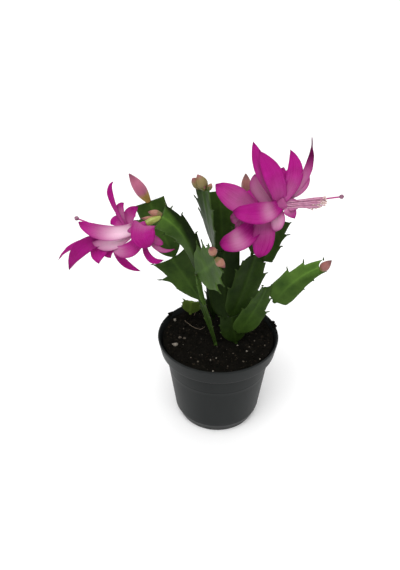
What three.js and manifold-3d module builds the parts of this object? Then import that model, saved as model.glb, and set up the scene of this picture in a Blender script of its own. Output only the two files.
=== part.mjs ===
// A Christmas cactus in a plastic nursery pot, in millimetres, +Z up.
// The origin is the middle of the pot's base. -Y is the front and +X the right-hand side.
import * as THREE from "three";
import { mergeVertices } from "three/addons/utils/BufferGeometryUtils.js";
import Module from "manifold-3d";

const wasm = await Module();
wasm.setup();

// Pot
const POT_HEIGHT = 72;
const RIM_RADIUS = 45;
const RIM_BEVEL = 0.5;
const BAND_RADIUS = 43; // lower edge of the rim band
const BAND_HEIGHT = 11.5;
const SHOULDER_HEIGHT = 1.5; // slope under the band
const WALL_RADIUS = 39.4; // top of the wall, under the band
const HEEL_RADIUS = 33;
const HEEL_HEIGHT = 8;
const FOOT_RADIUS = 29.5;
const FOOT_BEVEL = { out: 0.4, high: 1 };
const POT_WALL = 1.4;
const POT_FLOOR = 2;
const CHANNEL = { inner: 20, outer: 25, slope: 1, rise: 1 }; // ring under the base, where the drain holes are
const DRAIN_HOLES = { count: 6, radius: 3.2 };
const RECESSES = { angles: [184, 341, 62, 122], width: 11, depth: 2.4, low: 2.2, high: 9 };
const POT_SIDES = 36;

// Soil
const SOIL_LEVEL = 69.3;
const SOIL_RELIEF = 1.3;
const SOIL_RINGS = 6;
const SOIL_SHOULDER = 0.97; // the level top ends at this share of the soil's radius
const CLEARANCE = 0.3; // between pieces that touch
const SLIVER = 0.05; // joins and cuts leave no edge shorter than about this
const TRIM = 0.45; // cut round a neighbour, which leaves about the clearance at its sharp edges
const ROOT_RADIUS = 1.3; // buried lower end of a stem
const ROOT_DEPTH = 12;
const ROOT_SIDES = 12;
const CALM_RADIUS = 9; // the soil is level within this distance of a stem

// Stem segments: share of the length at the rib and at the edge, share of the half width at the edge,
// and how far a tooth or its notch stands out from that. Two teeth on each side and a horn at each
// corner of the tip.
const SEGMENT_ROWS = [
  { rib: 0.0, edge: 0.0, out: 0.1, tooth: 0 },
  { rib: 0.05, edge: 0.05, out: 0.17, tooth: 0 },
  { rib: 0.12, edge: 0.12, out: 0.4, tooth: 0 },
  { rib: 0.23, edge: 0.22, out: 0.66, tooth: 0 },
  { rib: 0.36, edge: 0.36, out: 0.87, tooth: -0.01 },
  { rib: 0.46, edge: 0.52, out: 0.96, tooth: 0.1 },
  { rib: 0.51, edge: 0.52, out: 0.97, tooth: -0.09 },
  { rib: 0.62, edge: 0.65, out: 0.97, tooth: -0.03 },
  { rib: 0.72, edge: 0.79, out: 0.95, tooth: 0.12 },
  { rib: 0.77, edge: 0.79, out: 0.94, tooth: -0.08 },
  { rib: 0.88, edge: 0.93, out: 0.88, tooth: -0.04 },
  { rib: 1.0, edge: 1.09, out: 0.84, tooth: 0 },
];
const LOWER_TEETH = 0.55; // the lower tooth of each side stands below this share of the rib
const RIB_THICKNESS = 2.6;
const LAMINA_THICKNESS = 1.6;
const EDGE_THICKNESS = 0.8;
const STALK_RADIUS = 1.1; // half the size of a segment's narrow lower end

// Where each segment stands: the middle and tip of its rib, its width between the teeth, the way
// that its face looks, its turn about the rib in degrees, its fold along the rib, its taper towards
// the tip, how round its lower end is, how deep its teeth are, how deep the lower ones are beside the
// upper ones and the right ones beside the left ones, and how far its horns stand out. A segment grows
// on the tip of the one named in on, at the share of its half width in shift, or at start beside the
// edge of its neighbour. The first of each stem is rooted at base.
const SEGMENTS = [
  { name: "left_stem_segment_1", base: [-21, 28, 69.6], mid: [-20.5, 28, 76], tip: [-20, 27, 82],
    width: 15, face: [-0.1, -1, 0.3], fold: 0.1, notch: 0.3, young: true },
  { name: "back_stem_segment_1", base: [-3, 22, 69.6], mid: [-4, 21, 84], tip: [-5, 20, 98],
    width: 12.5, face: [-0.75, -0.65, 0], fold: 0.1 },
  { name: "middle_stem_segment_1", base: [-2, -11, 69.6], mid: [-6.4, -11, 89.3], tip: [-11, -11, 106],
    width: 12, face: [-0.95, -0.45, 0.1], fold: 0.15, taper: -0.3 },
  { name: "middle_stem_segment_2", on: "middle_stem_segment_1", shift: 0.3, mid: [-13, -15, 121],
    tip: [-15, -16, 134], width: 12, face: [-1, 0.1, 0], fold: 0.1 },
  { name: "middle_stem_segment_3", on: "middle_stem_segment_2", shift: -0.3, mid: [-22, -17, 160],
    tip: [-37, -21, 178], width: 14, face: [-0.45, -0.65, 0.75], fold: -0.25, taper: -0.2,
    round: 0.75, horn: 0.1 },
  { name: "middle_stem_segment_4", on: "middle_stem_segment_2", shift: 0.4, mid: [-7.5, -30, 147.5],
    tip: [-3.8, -40, 158.8], width: 30, face: [-0.85, -0.5, -0.1], fold: 0.1, taper: 0.25, round: 0.25,
    notch: 1.7 },
  { name: "middle_stem_segment_5", on: "middle_stem_segment_1", shift: -0.4, mid: [-21.5, 1, 117],
    tip: [-33, 5, 133.5], width: 21, face: [-0.2, -1, 0.2], fold: 0.12, taper: -0.5, notch: 2, lower: 0.1 },
  { name: "middle_stem_segment_6", on: "middle_stem_segment_5", shift: 0.2, mid: [-40, 9, 154],
    tip: [-47.2, 11, 173.9], width: 23, face: [0.1, -1, 0.2], fold: 0.12, round: 0.4, horn: 0.2 },
  { name: "right_stem_segment_1", base: [13, -9, 69.6], mid: [11, -9, 82], tip: [9, -8, 93],
    width: 20, face: [0.1, -1, 0.2], fold: 0.1, notch: 0.3 },
  { name: "right_stem_segment_2", on: "right_stem_segment_1", shift: 0, mid: [16.5, -6, 115],
    tip: [23.8, -1, 139.7], width: 26, face: [0.45, -0.9, 0.1], fold: 0.2, taper: 0.15, round: 0.3,
    horn: -1.5 },
  { name: "right_stem_segment_3", on: "right_stem_segment_1", shift: -0.5, mid: [4, 1, 115],
    tip: [3, 5, 139.5], width: 24, face: [-0.1, -1, 0.1], fold: 0.1, round: 0.6 },
  { name: "right_stem_segment_4", start: [14.2, -11.5, 82], mid: [24, -16, 105],
    tip: [30, -21, 126], width: 17.5, face: [0.3, -0.9, 0.3], fold: 0.25, taper: 0.5, round: 0.55,
    notch: 1.2, horn: 0.8 },
  { name: "right_stem_segment_5", start: [37.3, -19.5, 114.3], mid: [49.1, -23, 133.2],
    tip: [63, -25, 144.3], width: 16, face: [-0.15, -0.9, 0.4], fold: 0.1, taper: 0.4, round: 0.75,
    notch: 1.6, right: 0.2, horn: 1.1 },
  { name: "right_stem_segment_6", start: [29.9, 2, 133.4], mid: [34.9, 6, 145],
    tip: [41.2, 10, 160.5], width: 15, face: [0.2, -1, 0.2], fold: 0.15, round: 0.9, notch: 1.5, lower: 0.6,
    horn: 0.3 },
  { name: "right_stem_segment_7", on: "right_stem_segment_2", shift: -0.2, mid: [25, 13, 153],
    tip: [20, 19, 174.5], width: 15, face: [0.1, -1, 0.2], fold: 0.1, round: 0.6 },
  { name: "right_stem_segment_8", on: "right_stem_segment_3", shift: -0.55, mid: [-7.5, -8, 169],
    tip: [-11, -10, 191], width: 22, face: [-0.9, -0.45, 0.1], fold: 0.15, notch: 1.5, horn: 0.5 },
  { name: "right_stem_segment_9", on: "right_stem_segment_3", shift: -0.1, mid: [0.6, 8, 162],
    tip: [-1, 12, 181], width: 21.5, face: [0.3, -1, 0.1], fold: 0.15, round: 0.6, horn: 0.2 },
  { name: "right_stem_segment_10", on: "right_stem_segment_3", shift: 0.5, mid: [9, -6, 151],
    tip: [11, -8, 160], width: 11, face: [0, -1, 0.2], fold: 0.1 },
];

// Buds: the segment that each grows on, its place across the tip, its point and its radius.
const BUDS = [
  { name: "bud_long", on: "middle_stem_segment_6", shift: -0.05, tip: [-59, 8, 194.5], radius: 4 },
  { name: "bud_left_upper", on: "middle_stem_segment_3", shift: 0.15, tip: [-45.5, -19, 180.5], radius: 2.3 },
  { name: "bud_left_lower", on: "middle_stem_segment_3", shift: -0.2, tip: [-50, -19, 176], radius: 1.6 },
  { name: "bud_middle_front", on: "middle_stem_segment_4", shift: 0, tip: [1.5, -44, 155.5], radius: 2.7 },
  { name: "bud_middle_back", on: "middle_stem_segment_4", shift: -0.2, tip: [-7, -41, 168], radius: 2.6 },
  { name: "bud_right_side", on: "right_stem_segment_5", shift: 0.2, tip: [68.3, -28, 149.6], radius: 3 },
  { name: "bud_right_back", on: "right_stem_segment_7", shift: -0.2, tip: [17, 21, 189.5], radius: 3.5 },
  { name: "bud_top_left", on: "right_stem_segment_8", shift: -0.45, tip: [-18, -12, 199.5], radius: 3 },
  { name: "bud_top_middle", on: "right_stem_segment_8", shift: 0.15, tip: [-15, -11, 201.5], radius: 3.5 },
  { name: "bud_top_front", on: "right_stem_segment_8", shift: -0.1, tip: [-10.5, -15, 195.5], radius: 1.5 },
  { name: "bud_top_right", on: "right_stem_segment_8", shift: 0.6, tip: [-6.5, -8, 194.5], radius: 1.6 },
];
const BUD_PROFILE = [0.45, 0.8, 1.0, 0.92, 0.62, 0.12]; // shares of the radius from base to point
const BUD_SIDES = 8;

// Petals: share of the length, and share of the half width there.
const PETAL_ROWS = [
  { along: 0.0, out: 0.35 },
  { along: 0.2, out: 0.58 },
  { along: 0.4, out: 0.92 },
  { along: 0.58, out: 1.0 },
  { along: 0.78, out: 0.72 },
  { along: 0.92, out: 0.34 },
  { along: 1.0, out: 0.08 },
];
const POINT_START = 0.5; // share of the length where the outer half of a petal begins
const POINT_WIDTH = 0.8; // narrowest part of a petal
const PETAL_THICKNESS = 0.7;
const PETAL_CUP = 0.3; // rise of a petal's edges, as a share of its half width
const PETAL_SEAT = 0.6; // where petals spring from, as a share of the tube's radius

// Blooms: the tube runs from the ovary over bend to mouth. A petal is rooted at the share at of the
// tube's petal-bearing length and goes over mid to tip, with its width and the way that its face looks.
// A blunt petal is broad at both ends, and below zero it has a long thin point instead. The foot widens
// its rooted half, up to the full width at 1.
const BLOOMS = [
  {
    name: "bloom_left", on: "middle_stem_segment_3", shift: -0.1,
    ovary: [-46.5, -25, 175.5], bend: [-58, -27, 171], mouth: [-71, -28, 169],
    stamens: [-80, -26, 171], style: [-88, -27, 180], filaments: 7,
    petals: [
      { at: 0.4, mid: [-70, -35, 174.5], tip: [-85.5, -34, 181], width: 9.5, face: [-0.1, -0.9, 0.3],
        blunt: 0.35, foot: 0.5 },
      { at: 0.9, mid: [-84.5, -33, 163.5], tip: [-95.5, -33, 147], width: 9.5, face: [-0.4, -0.9, 0.3],
        foot: 0.5 },
      { at: 1, mid: [-89.5, -26, 162], tip: [-104, -24, 149], width: 4, face: [0.2, -0.4, 0.9] },
      { at: 0.9, mid: [-75, -33, 161.5], tip: [-76, -34, 152.5], width: 10, face: [-0.3, -0.9, 0.3],
        foot: 0.6 },
      { at: 0.75, mid: [-69.5, -31, 162], tip: [-68.5, -33, 156], width: 9, face: [0, -0.9, 0.3], foot: 0.5 },
      { at: 1, mid: [-62.5, -30, 152.6], tip: [-51, -30, 144.5], width: 5, face: [0.3, -0.8, 0.5] },
      { at: 0.05, mid: [-55.5, -34, 163], tip: [-67, -33, 163], width: 9, face: [0, -0.9, 0.3], blunt: 0.4 },
      { at: 0.15, mid: [-45.5, -35, 158.5], tip: [-36, -33, 154.5], width: 4.5, face: [0.6, -0.7, 0.1],
        blunt: 0.3 },
      { at: 0.05, mid: [-47, -38, 174], tip: [-43.5, -38, 166.5], width: 14.5, face: [0, -0.9, 0.4],
        blunt: 0.15, foot: 0.9 },
      { at: 0.4, mid: [-67, -33, 166], tip: [-79, -33, 167], width: 8, face: [0, -0.9, 0.2], blunt: 0.3 },
      { at: 0.1, mid: [-40, -33, 163], tip: [-29, -29, 160], width: 3.2, face: [0.2, -0.7, 0.7] },
      { at: 0.1, mid: [-41, -31, 167.5], tip: [-36, -31, 165.5], width: 5, face: [0.2, -0.9, 0.4], blunt: 0.3 },
      { at: 0.55, mid: [-67.3, -19, 190], tip: [-65.5, -17, 199.5], width: 3.8, face: [-0.2, -0.9, 0.3] },
      { at: 0.5, mid: [-62.5, -20, 181], tip: [-60, -18, 186], width: 6, face: [-0.2, -0.9, 0.2], blunt: 0.2 },
      { at: 0.35, mid: [-57, -19, 178], tip: [-51.5, -17, 183], width: 7.5, face: [0, -0.8, 0.4], blunt: 0.2 },
      { at: 0.7, mid: [-64.5, -22, 175.5], tip: [-69, -21, 173], width: 7, face: [-0.3, -0.6, 0.7],
        blunt: 0.3 },
    ],
  },
  {
    name: "bloom_right", on: "right_stem_segment_10", shift: 0,
    ovary: [15, -10, 167], bend: [27, -12, 176], mouth: [40, -13.5, 185],
    stamens: [63.5, -19, 188.5], style: [72, -20, 191], filaments: 10,
    petals: [
      { at: 0.95, mid: [24.5, -13, 203.5], tip: [18, -8, 221], width: 9.5, face: [0.1, -0.9, 0.4], foot: 0.3 },
      { at: 1, mid: [30.6, -17.6, 202], tip: [21.3, -13, 217.2], width: 12, face: [0.1, -0.9, 0.3], foot: 0.6 },
      { at: 1, mid: [34.5, -16, 198], tip: [36.8, -13, 207], width: 9, face: [0, -0.9, 0.3], blunt: 0.2 },
      { at: 1, mid: [42.8, -16, 202], tip: [39.8, -12, 217.5], width: 10, face: [0, -0.9, 0.3], foot: 0.5 },
      { at: 1, mid: [49, -15, 202], tip: [51, -16, 226.5], width: 6.5, face: [0.4, -0.9, 0.2],
        blunt: -0.8, foot: 1 },
      { at: 0.9, mid: [46, -13.5, 195], tip: [50.3, -14, 204], width: 10, face: [0.2, -0.9, 0.4], blunt: 0.2 },
      { at: 0.8, mid: [24, -5, 190], tip: [21, 1, 197], width: 11, face: [-0.2, -0.9, 0.3], foot: 0.8 },
      { at: 0.5, mid: [9.5, -17, 187.5], tip: [-4, -14, 196.5], width: 15, face: [0.1, -0.9, 0.4],
        blunt: 0.25 },
      { at: 0.95, mid: [23.5, -27, 183.5], tip: [6.5, -24, 183], width: 13, face: [0, -0.9, 0.4], blunt: 0.45 },
      { at: 0.4, mid: [12.5, -27, 167], tip: [-1.5, -30, 164.5], width: 14, face: [0, -0.9, 0.4],
        blunt: 0.5, foot: 0.3 },
      { at: 0.5, mid: [26, -23, 166], tip: [24, -25, 151.5], width: 14, face: [0.1, -0.9, 0.3],
        blunt: 0.4, foot: 0.6 },
      { at: 1, mid: [41, -17, 181.5], tip: [45.5, -18, 175.5], width: 8, face: [0.3, -0.9, 0.2], blunt: 0.2 },
      { at: 0.9, mid: [34.5, -20, 176], tip: [34, -22, 168.5], width: 9, face: [0.1, -0.9, 0.2], blunt: 0.45 },
      { at: 1, mid: [42, -16, 184], tip: [48, -17, 183], width: 8, face: [0, -0.9, 0.4], blunt: 0.4 },
      { at: 0.4, mid: [16.5, -21, 169], tip: [17, -22, 158.5], width: 12, face: [0, -0.9, 0.4],
        blunt: 0.4, foot: 0.5 },
      { at: 0.25, mid: [11.5, -15, 174.5], tip: [6, -14, 172], width: 9, face: [0, -0.9, 0.4], blunt: 0.3 },
      { at: 0.2, mid: [13.5, -19, 171], tip: [9, -19, 168], width: 9, face: [0, -0.9, 0.4], blunt: 0.3 },
      { at: 1, mid: [42, 4, 190], tip: [44, 16, 194], width: 10, face: [0.1, -0.4, 0.9] },
      { at: 0.3, mid: [20, 4, 178], tip: [19, 14, 181], width: 10, face: [-0.3, -0.4, 0.8] },
    ],
  },
];
const TUBE_RADII = [2, 2.8, 3.6, 3.9, 4.4]; // from the ovary to the mouth
const TUBE_SIDES = 10;
const PETAL_BEARING = 0.9; // share of the tube, from the ovary, that bears petals
const OVARY_RADII = [1.1, 1.9, 2.1, 1.8];
const STAMEN = { ring: 2.2, radius: 0.5, spread: 1.6, anther: 0.9, arc: 270, shortest: 0.72, collar: 0.03 };
const GOLDEN = 0.618; // scatters the lengths of the filaments
const STYLE_RADIUS = 0.6;
const STIGMA_RADIUS = 1.5;

const finish = (color, roughness) => new THREE.MeshStandardMaterial({ color, roughness, metalness: 0 });
const MATERIALS = {
  pot: finish(0x2f3434, 0.5),
  soil: finish(0x14110f, 1),
  stem: finish(0x2f5a1e, 0.45),
  youngStem: finish(0x6c9436, 0.45),
  petal: finish(0xb91a94, 0.5),
  bud: finish(0xc47a74, 0.5),
  ovary: finish(0xa6ad38, 0.45),
  stamen: finish(0xe9b7cf, 0.6),
  style: finish(0xa8127c, 0.4),
};

const toVector = (p) => new THREE.Vector3(p[0], p[1], p[2]);

// Makes a closed geometry a solid that can be joined and cut.
function solidOf(geometry) {
  const bare = new THREE.BufferGeometry();
  bare.setAttribute("position", geometry.getAttribute("position"));
  bare.setIndex(geometry.index);
  const merged = mergeVertices(bare, 1e-3);
  return new wasm.Manifold(
    new wasm.Mesh({
      numProp: 3,
      vertProperties: merged.attributes.position.array,
      triVerts: new Uint32Array(merged.index.array),
    }),
  );
}

// The largest body of a solid. What a cut leaves beside it is a scrap.
const mainBody = (solid) => solid.decompose().reduce((a, b) => (a.volume() > b.volume() ? a : b));

function geometryOf(solid) {
  const mesh = mainBody(solid.simplify(SLIVER)).getMesh();
  const geometry = new THREE.BufferGeometry();
  geometry.setAttribute("position", new THREE.BufferAttribute(mesh.vertProperties, 3));
  geometry.setIndex(new THREE.BufferAttribute(mesh.triVerts, 1));
  geometry.computeVertexNormals();
  return geometry;
}

function join(geometries) {
  return geometryOf(geometries.map(solidOf).reduce((whole, piece) => whole.add(piece)));
}

function cut(geometry, tools) {
  return geometryOf(tools.map(solidOf).reduce((whole, tool) => whole.subtract(tool), solidOf(geometry)));
}

// What is left of a geometry where its neighbours, swollen a little, are cut away.
function clearOf(geometry, neighbours) {
  return geometryOf(neighbours.map(swollen).reduce((whole, tool) => whole.subtract(tool), solidOf(geometry)));
}

// Every corner moves outwards along the mean of the faces that meet there, whatever their size.
function swollen(geometry) {
  const bare = new THREE.BufferGeometry();
  bare.setAttribute("position", geometry.getAttribute("position").clone());
  bare.setIndex(geometry.index);
  const skin = mergeVertices(bare, 1e-3);
  const place = skin.getAttribute("position");
  const corners = [];
  for (let i = 0; i < place.count; i++) corners.push(new THREE.Vector3().fromBufferAttribute(place, i));
  const ways = corners.map(() => new THREE.Vector3());
  for (let i = 0; i < skin.index.count; i += 3) {
    const [a, b, c] = [0, 1, 2].map((k) => skin.index.getX(i + k));
    const normal = new THREE.Triangle(corners[a], corners[b], corners[c]).getNormal(new THREE.Vector3());
    for (const corner of [a, b, c]) ways[corner].add(normal);
  }
  corners.forEach((corner, i) => corner.addScaledVector(ways[i].normalize(), TRIM));
  return solidOf(skin.setFromPoints(corners));
}

function indexedGeometry(points, faces) {
  const geometry = new THREE.BufferGeometry().setFromPoints(points);
  geometry.setIndex(faces.flat());
  geometry.computeVertexNormals();
  return geometry;
}

// A smooth way from start over middle, which is reached half way, to end.
function bowedCurve(start, middle, end) {
  const pull = middle.clone().multiplyScalar(2).sub(start.clone().add(end).multiplyScalar(0.5));
  return new THREE.QuadraticBezierCurve3(start, pull, end);
}

// The point, the along direction, the across direction and the face normal of a blade at a share of
// its length. The face turns about the rib by turn degrees from start to end. Past the end the blade
// runs straight on.
function bladeFrame(curve, face, share, turn = 0) {
  const inside = THREE.MathUtils.clamp(share, 0, 1);
  const along = curve.getTangent(inside);
  const turned = face.clone().applyAxisAngle(along, THREE.MathUtils.degToRad(turn * inside));
  const across = along.clone().cross(turned).normalize();
  const normal = across.clone().cross(along);
  const point = curve.getPoint(inside).addScaledVector(along, (share - inside) * curve.getLength());
  return { point, along, across, normal };
}

// A closed blade. Each row lists upper and lower points from left to right, and both faces are split
// into triangles along the same diagonals.
function bladeGeometry(rows) {
  const count = rows[0].length;
  const points = rows.flatMap((row) => row.flatMap(({ upper, lower }) => [upper, lower]));
  const up = (i, j) => 2 * (i * count + j);
  const low = (i, j) => up(i, j) + 1;
  const faces = [];
  const quad = (a, b, c, d) => faces.push([a, b, c], [a, c, d]);
  for (let i = 0; i + 1 < rows.length; i++) {
    for (let j = 0; j + 1 < count; j++) {
      quad(up(i, j), up(i, j + 1), up(i + 1, j + 1), up(i + 1, j));
      faces.push([low(i, j), low(i + 1, j + 1), low(i, j + 1)]);
      faces.push([low(i, j), low(i + 1, j), low(i + 1, j + 1)]);
    }
    quad(up(i, 0), up(i + 1, 0), low(i + 1, 0), low(i, 0));
    const right = count - 1;
    quad(up(i + 1, right), up(i, right), low(i, right), low(i + 1, right));
  }
  const last = rows.length - 1;
  for (let j = 0; j + 1 < count; j++) {
    quad(up(0, j), low(0, j), low(0, j + 1), up(0, j + 1));
    quad(low(last, j), up(last, j), up(last, j + 1), low(last, j + 1));
  }
  return indexedGeometry(points, faces);
}

// A closed round body along a curve, with a radius for each of its evenly spaced rings.
function spindleGeometry(curve, radii, sides) {
  const reference = new THREE.Vector3(0.13, 0.98, 0.15);
  const points = [];
  const faces = [];
  radii.forEach((radius, i) => {
    const share = i / (radii.length - 1);
    const { point, across, normal } = bladeFrame(curve, reference, share);
    for (let k = 0; k < sides; k++) {
      const turn = (2 * Math.PI * k) / sides;
      const offset = across.clone().multiplyScalar(radius * Math.cos(turn));
      offset.addScaledVector(normal, radius * Math.sin(turn));
      points.push(point.clone().add(offset));
    }
  });
  const ends = [points.length, points.length + 1];
  points.push(curve.getPoint(0), curve.getPoint(1));
  const lastRing = (radii.length - 1) * sides;
  for (let k = 0; k < sides; k++) {
    const next = (k + 1) % sides;
    for (let i = 0; i < lastRing; i += sides) {
      faces.push([i + k, i + sides + k, i + sides + next], [i + k, i + sides + next, i + next]);
    }
    faces.push([ends[0], k, next], [ends[1], lastRing + next, lastRing + k]);
  }
  return indexedGeometry(points, faces);
}

// Pot: a tapered shell with a rim band, a chamfered heel, a drain channel and recesses in the heel.
function potGeometry() {
  const bandBottom = POT_HEIGHT - BAND_HEIGHT;
  const profile = [
    [0, 0],
    [CHANNEL.inner, 0],
    [CHANNEL.inner + CHANNEL.slope, CHANNEL.rise],
    [CHANNEL.outer - CHANNEL.slope, CHANNEL.rise],
    [CHANNEL.outer, 0],
    [FOOT_RADIUS, 0],
    [FOOT_RADIUS + FOOT_BEVEL.out, FOOT_BEVEL.high],
    [HEEL_RADIUS, HEEL_HEIGHT],
    [WALL_RADIUS, bandBottom - SHOULDER_HEIGHT],
    [BAND_RADIUS, bandBottom],
    [RIM_RADIUS, POT_HEIGHT - RIM_BEVEL],
    [RIM_RADIUS - RIM_BEVEL, POT_HEIGHT],
    [RIM_RADIUS - POT_WALL, POT_HEIGHT],
    [BAND_RADIUS - POT_WALL, bandBottom + 1],
    [WALL_RADIUS - POT_WALL, bandBottom + 1 - SHOULDER_HEIGHT],
    [HEEL_RADIUS - POT_WALL, HEEL_HEIGHT + 1],
    [FOOT_RADIUS - POT_WALL, POT_FLOOR],
    [0, POT_FLOOR],
  ].map(([radius, height]) => new THREE.Vector2(radius, height));
  const shell = new THREE.LatheGeometry(profile, POT_SIDES).rotateX(Math.PI / 2);

  const tools = [];
  const ringRadius = (CHANNEL.inner + CHANNEL.outer) / 2;
  for (let k = 0; k < DRAIN_HOLES.count; k++) {
    const turn = (2 * Math.PI * (k + 0.5)) / DRAIN_HOLES.count;
    const hole = new THREE.CylinderGeometry(DRAIN_HOLES.radius, DRAIN_HOLES.radius, 4 * POT_FLOOR, 16);
    hole.rotateX(Math.PI / 2).translate(ringRadius * Math.cos(turn), ringRadius * Math.sin(turn), 0);
    tools.push(hole);
  }
  for (const angle of RECESSES.angles) {
    const scoop = new THREE.BoxGeometry(RECESSES.depth, RECESSES.width, RECESSES.high - RECESSES.low);
    const middle = (RECESSES.low + RECESSES.high) / 2;
    scoop.translate(HEEL_RADIUS, 0, middle).rotateZ(THREE.MathUtils.degToRad(angle));
    tools.push(scoop);
  }
  return cut(shell, tools);
}

// A fixed pattern of low clods, from -1 to 1.
function clods(x, y) {
  const broad = Math.sin(0.31 * x + 1.2) * Math.cos(0.27 * y - 0.6);
  const fine = Math.sin(0.83 * x - 0.9 * y + 0.4) * Math.cos(0.71 * x + 0.67 * y);
  return 0.6 * broad + 0.4 * fine;
}

// Soil: fills the pot, with an uneven top and a plain hole for each rooted stem.
function soilGeometry(roots) {
  const top = SOIL_LEVEL;
  const inset = POT_WALL + 2 * CLEARANCE;
  const shoulderTop = POT_HEIGHT - BAND_HEIGHT + 1;
  const topRadius = BAND_RADIUS - inset;
  const profile = [
    [0, POT_FLOOR + CLEARANCE],
    [FOOT_RADIUS - inset, POT_FLOOR + CLEARANCE],
    [HEEL_RADIUS - inset, HEEL_HEIGHT + 1],
    [WALL_RADIUS - inset, shoulderTop - SHOULDER_HEIGHT + CLEARANCE],
    [topRadius, shoulderTop + CLEARANCE],
    [topRadius, top - SOIL_RELIEF],
  ];
  for (let k = 0; k <= SOIL_RINGS; k++) profile.push([topRadius * SOIL_SHOULDER * (1 - k / SOIL_RINGS), top]);
  const outline = profile.map(([radius, height]) => new THREE.Vector2(Math.max(radius, 0), height));
  const plug = new THREE.LatheGeometry(outline, POT_SIDES).rotateX(Math.PI / 2);

  const place = plug.getAttribute("position");
  for (let i = 0; i < place.count; i++) {
    if (place.getZ(i) < top - 0.01) continue;
    const [x, y] = [place.getX(i), place.getY(i)];
    const nearest = Math.min(...roots.map((root) => Math.hypot(x - root.x, y - root.y)));
    const calm = THREE.MathUtils.smoothstep(nearest, CALM_RADIUS / 2, CALM_RADIUS);
    place.setZ(i, top + SOIL_RELIEF * clods(x, y) * calm);
  }
  const holeRadius = (ROOT_RADIUS + CLEARANCE) / Math.cos(Math.PI / ROOT_SIDES);
  const holes = roots.map((root) => {
    const hole = new THREE.CylinderGeometry(holeRadius, holeRadius, 2 * ROOT_DEPTH, ROOT_SIDES);
    return hole.rotateX(Math.PI / 2).translate(root.x, root.y, top);
  });
  return cut(plug, holes);
}

// The tip of a segment at a share of its half width, and the way that it points.
function tipOf(segment, shift) {
  const { point, along, across } = bladeFrame(segment.curve, segment.face, 1, segment.turn);
  return { point: point.addScaledVector(across, (shift * segment.width) / 2), along };
}

// Where a piece of the given end radius starts, just clear of the segment tip that it grows on.
function jointOn(segment, shift, towards, radius) {
  const { point, along } = tipOf(segment, shift);
  const bend = along.angleTo(towards.clone().sub(point));
  return point.addScaledVector(along, CLEARANCE + radius * Math.sin(Math.min(bend, Math.PI / 2)));
}

function segmentGeometry(segment) {
  const columns = [-1, -0.5, 0, 0.5, 1];
  const half = segment.width / 2;
  const { taper = 0, round = 0, notch = 1, lower = 1, right = 1, horn = 1 } = segment;
  const rows = SEGMENT_ROWS.map(({ rib, edge, out, tooth }) =>
    columns.map((column) => {
      const side = Math.abs(column);
      const share = rib + (edge - rib) * side * side * (rib < 1 ? 1 : horn);
      const { point, across, normal } = bladeFrame(segment.curve, segment.face, share, segment.turn);
      const depth = notch * (rib < LOWER_TEETH ? lower : 1) * (column > 0 ? right : 1);
      const full = rib > SEGMENT_ROWS[0].rib ? out ** (1 - round) + tooth * depth : out;
      const reach = full * half * (1 + taper * (1 - 2 * share));
      const lift = segment.fold * reach * side;
      const thickness = side === 0 ? RIB_THICKNESS : side === 1 ? EDGE_THICKNESS : LAMINA_THICKNESS;
      point.addScaledVector(across, column * reach).addScaledVector(normal, lift);
      return {
        upper: point.clone().addScaledVector(normal, thickness / 2),
        lower: point.clone().addScaledVector(normal, -thickness / 2),
      };
    }),
  );
  const blade = bladeGeometry(rows);
  if (!segment.base) return blade;
  // The buried stub of a rooted segment, sunk into the blade above it.
  const { x, y } = segment.curve.getPoint(0);
  const stubHeight = ROOT_DEPTH + 1;
  const stub = new THREE.CylinderGeometry(ROOT_RADIUS, ROOT_RADIUS * 0.6, stubHeight, ROOT_SIDES);
  stub.rotateX(Math.PI / 2).translate(x, y, SOIL_LEVEL + 2 - stubHeight / 2);
  return join([blade, stub]);
}

// A petal springs from the wall of the tube, on the side that it leans to.
function petalRoot(tube, petal) {
  const share = petal.at * PETAL_BEARING;
  const { point, along } = bladeFrame(tube, new THREE.Vector3(0, 0, 1), share);
  const side = toVector(petal.mid).sub(point).projectOnPlane(along).normalize();
  return point.addScaledVector(side, TUBE_RADII[Math.round(share * (TUBE_RADII.length - 1))] * PETAL_SEAT);
}

function petalGeometry(root, petal) {
  const curve = bowedCurve(root, toVector(petal.mid), toVector(petal.tip));
  const face = toVector(petal.face).normalize();
  const { blunt = 0, foot = 0 } = petal;
  const rows = PETAL_ROWS.map(({ along, out }) =>
    [-1, 0, 1].map((column) => {
      const { point, across, normal } = bladeFrame(curve, face, along);
      const outer = along > POINT_START;
      const shaped = blunt > 0 || outer ? out ** (1 - blunt) : out;
      const full = outer ? shaped : shaped + (1 - shaped) * foot;
      const reach = Math.max((full * petal.width) / 2, POINT_WIDTH / 2);
      point.addScaledVector(across, column * reach);
      point.addScaledVector(normal, PETAL_CUP * reach * Math.abs(column));
      return {
        upper: point.clone().addScaledVector(normal, PETAL_THICKNESS / 2),
        lower: point.clone().addScaledVector(normal, -PETAL_THICKNESS / 2),
      };
    }),
  );
  return bladeGeometry(rows);
}

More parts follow.
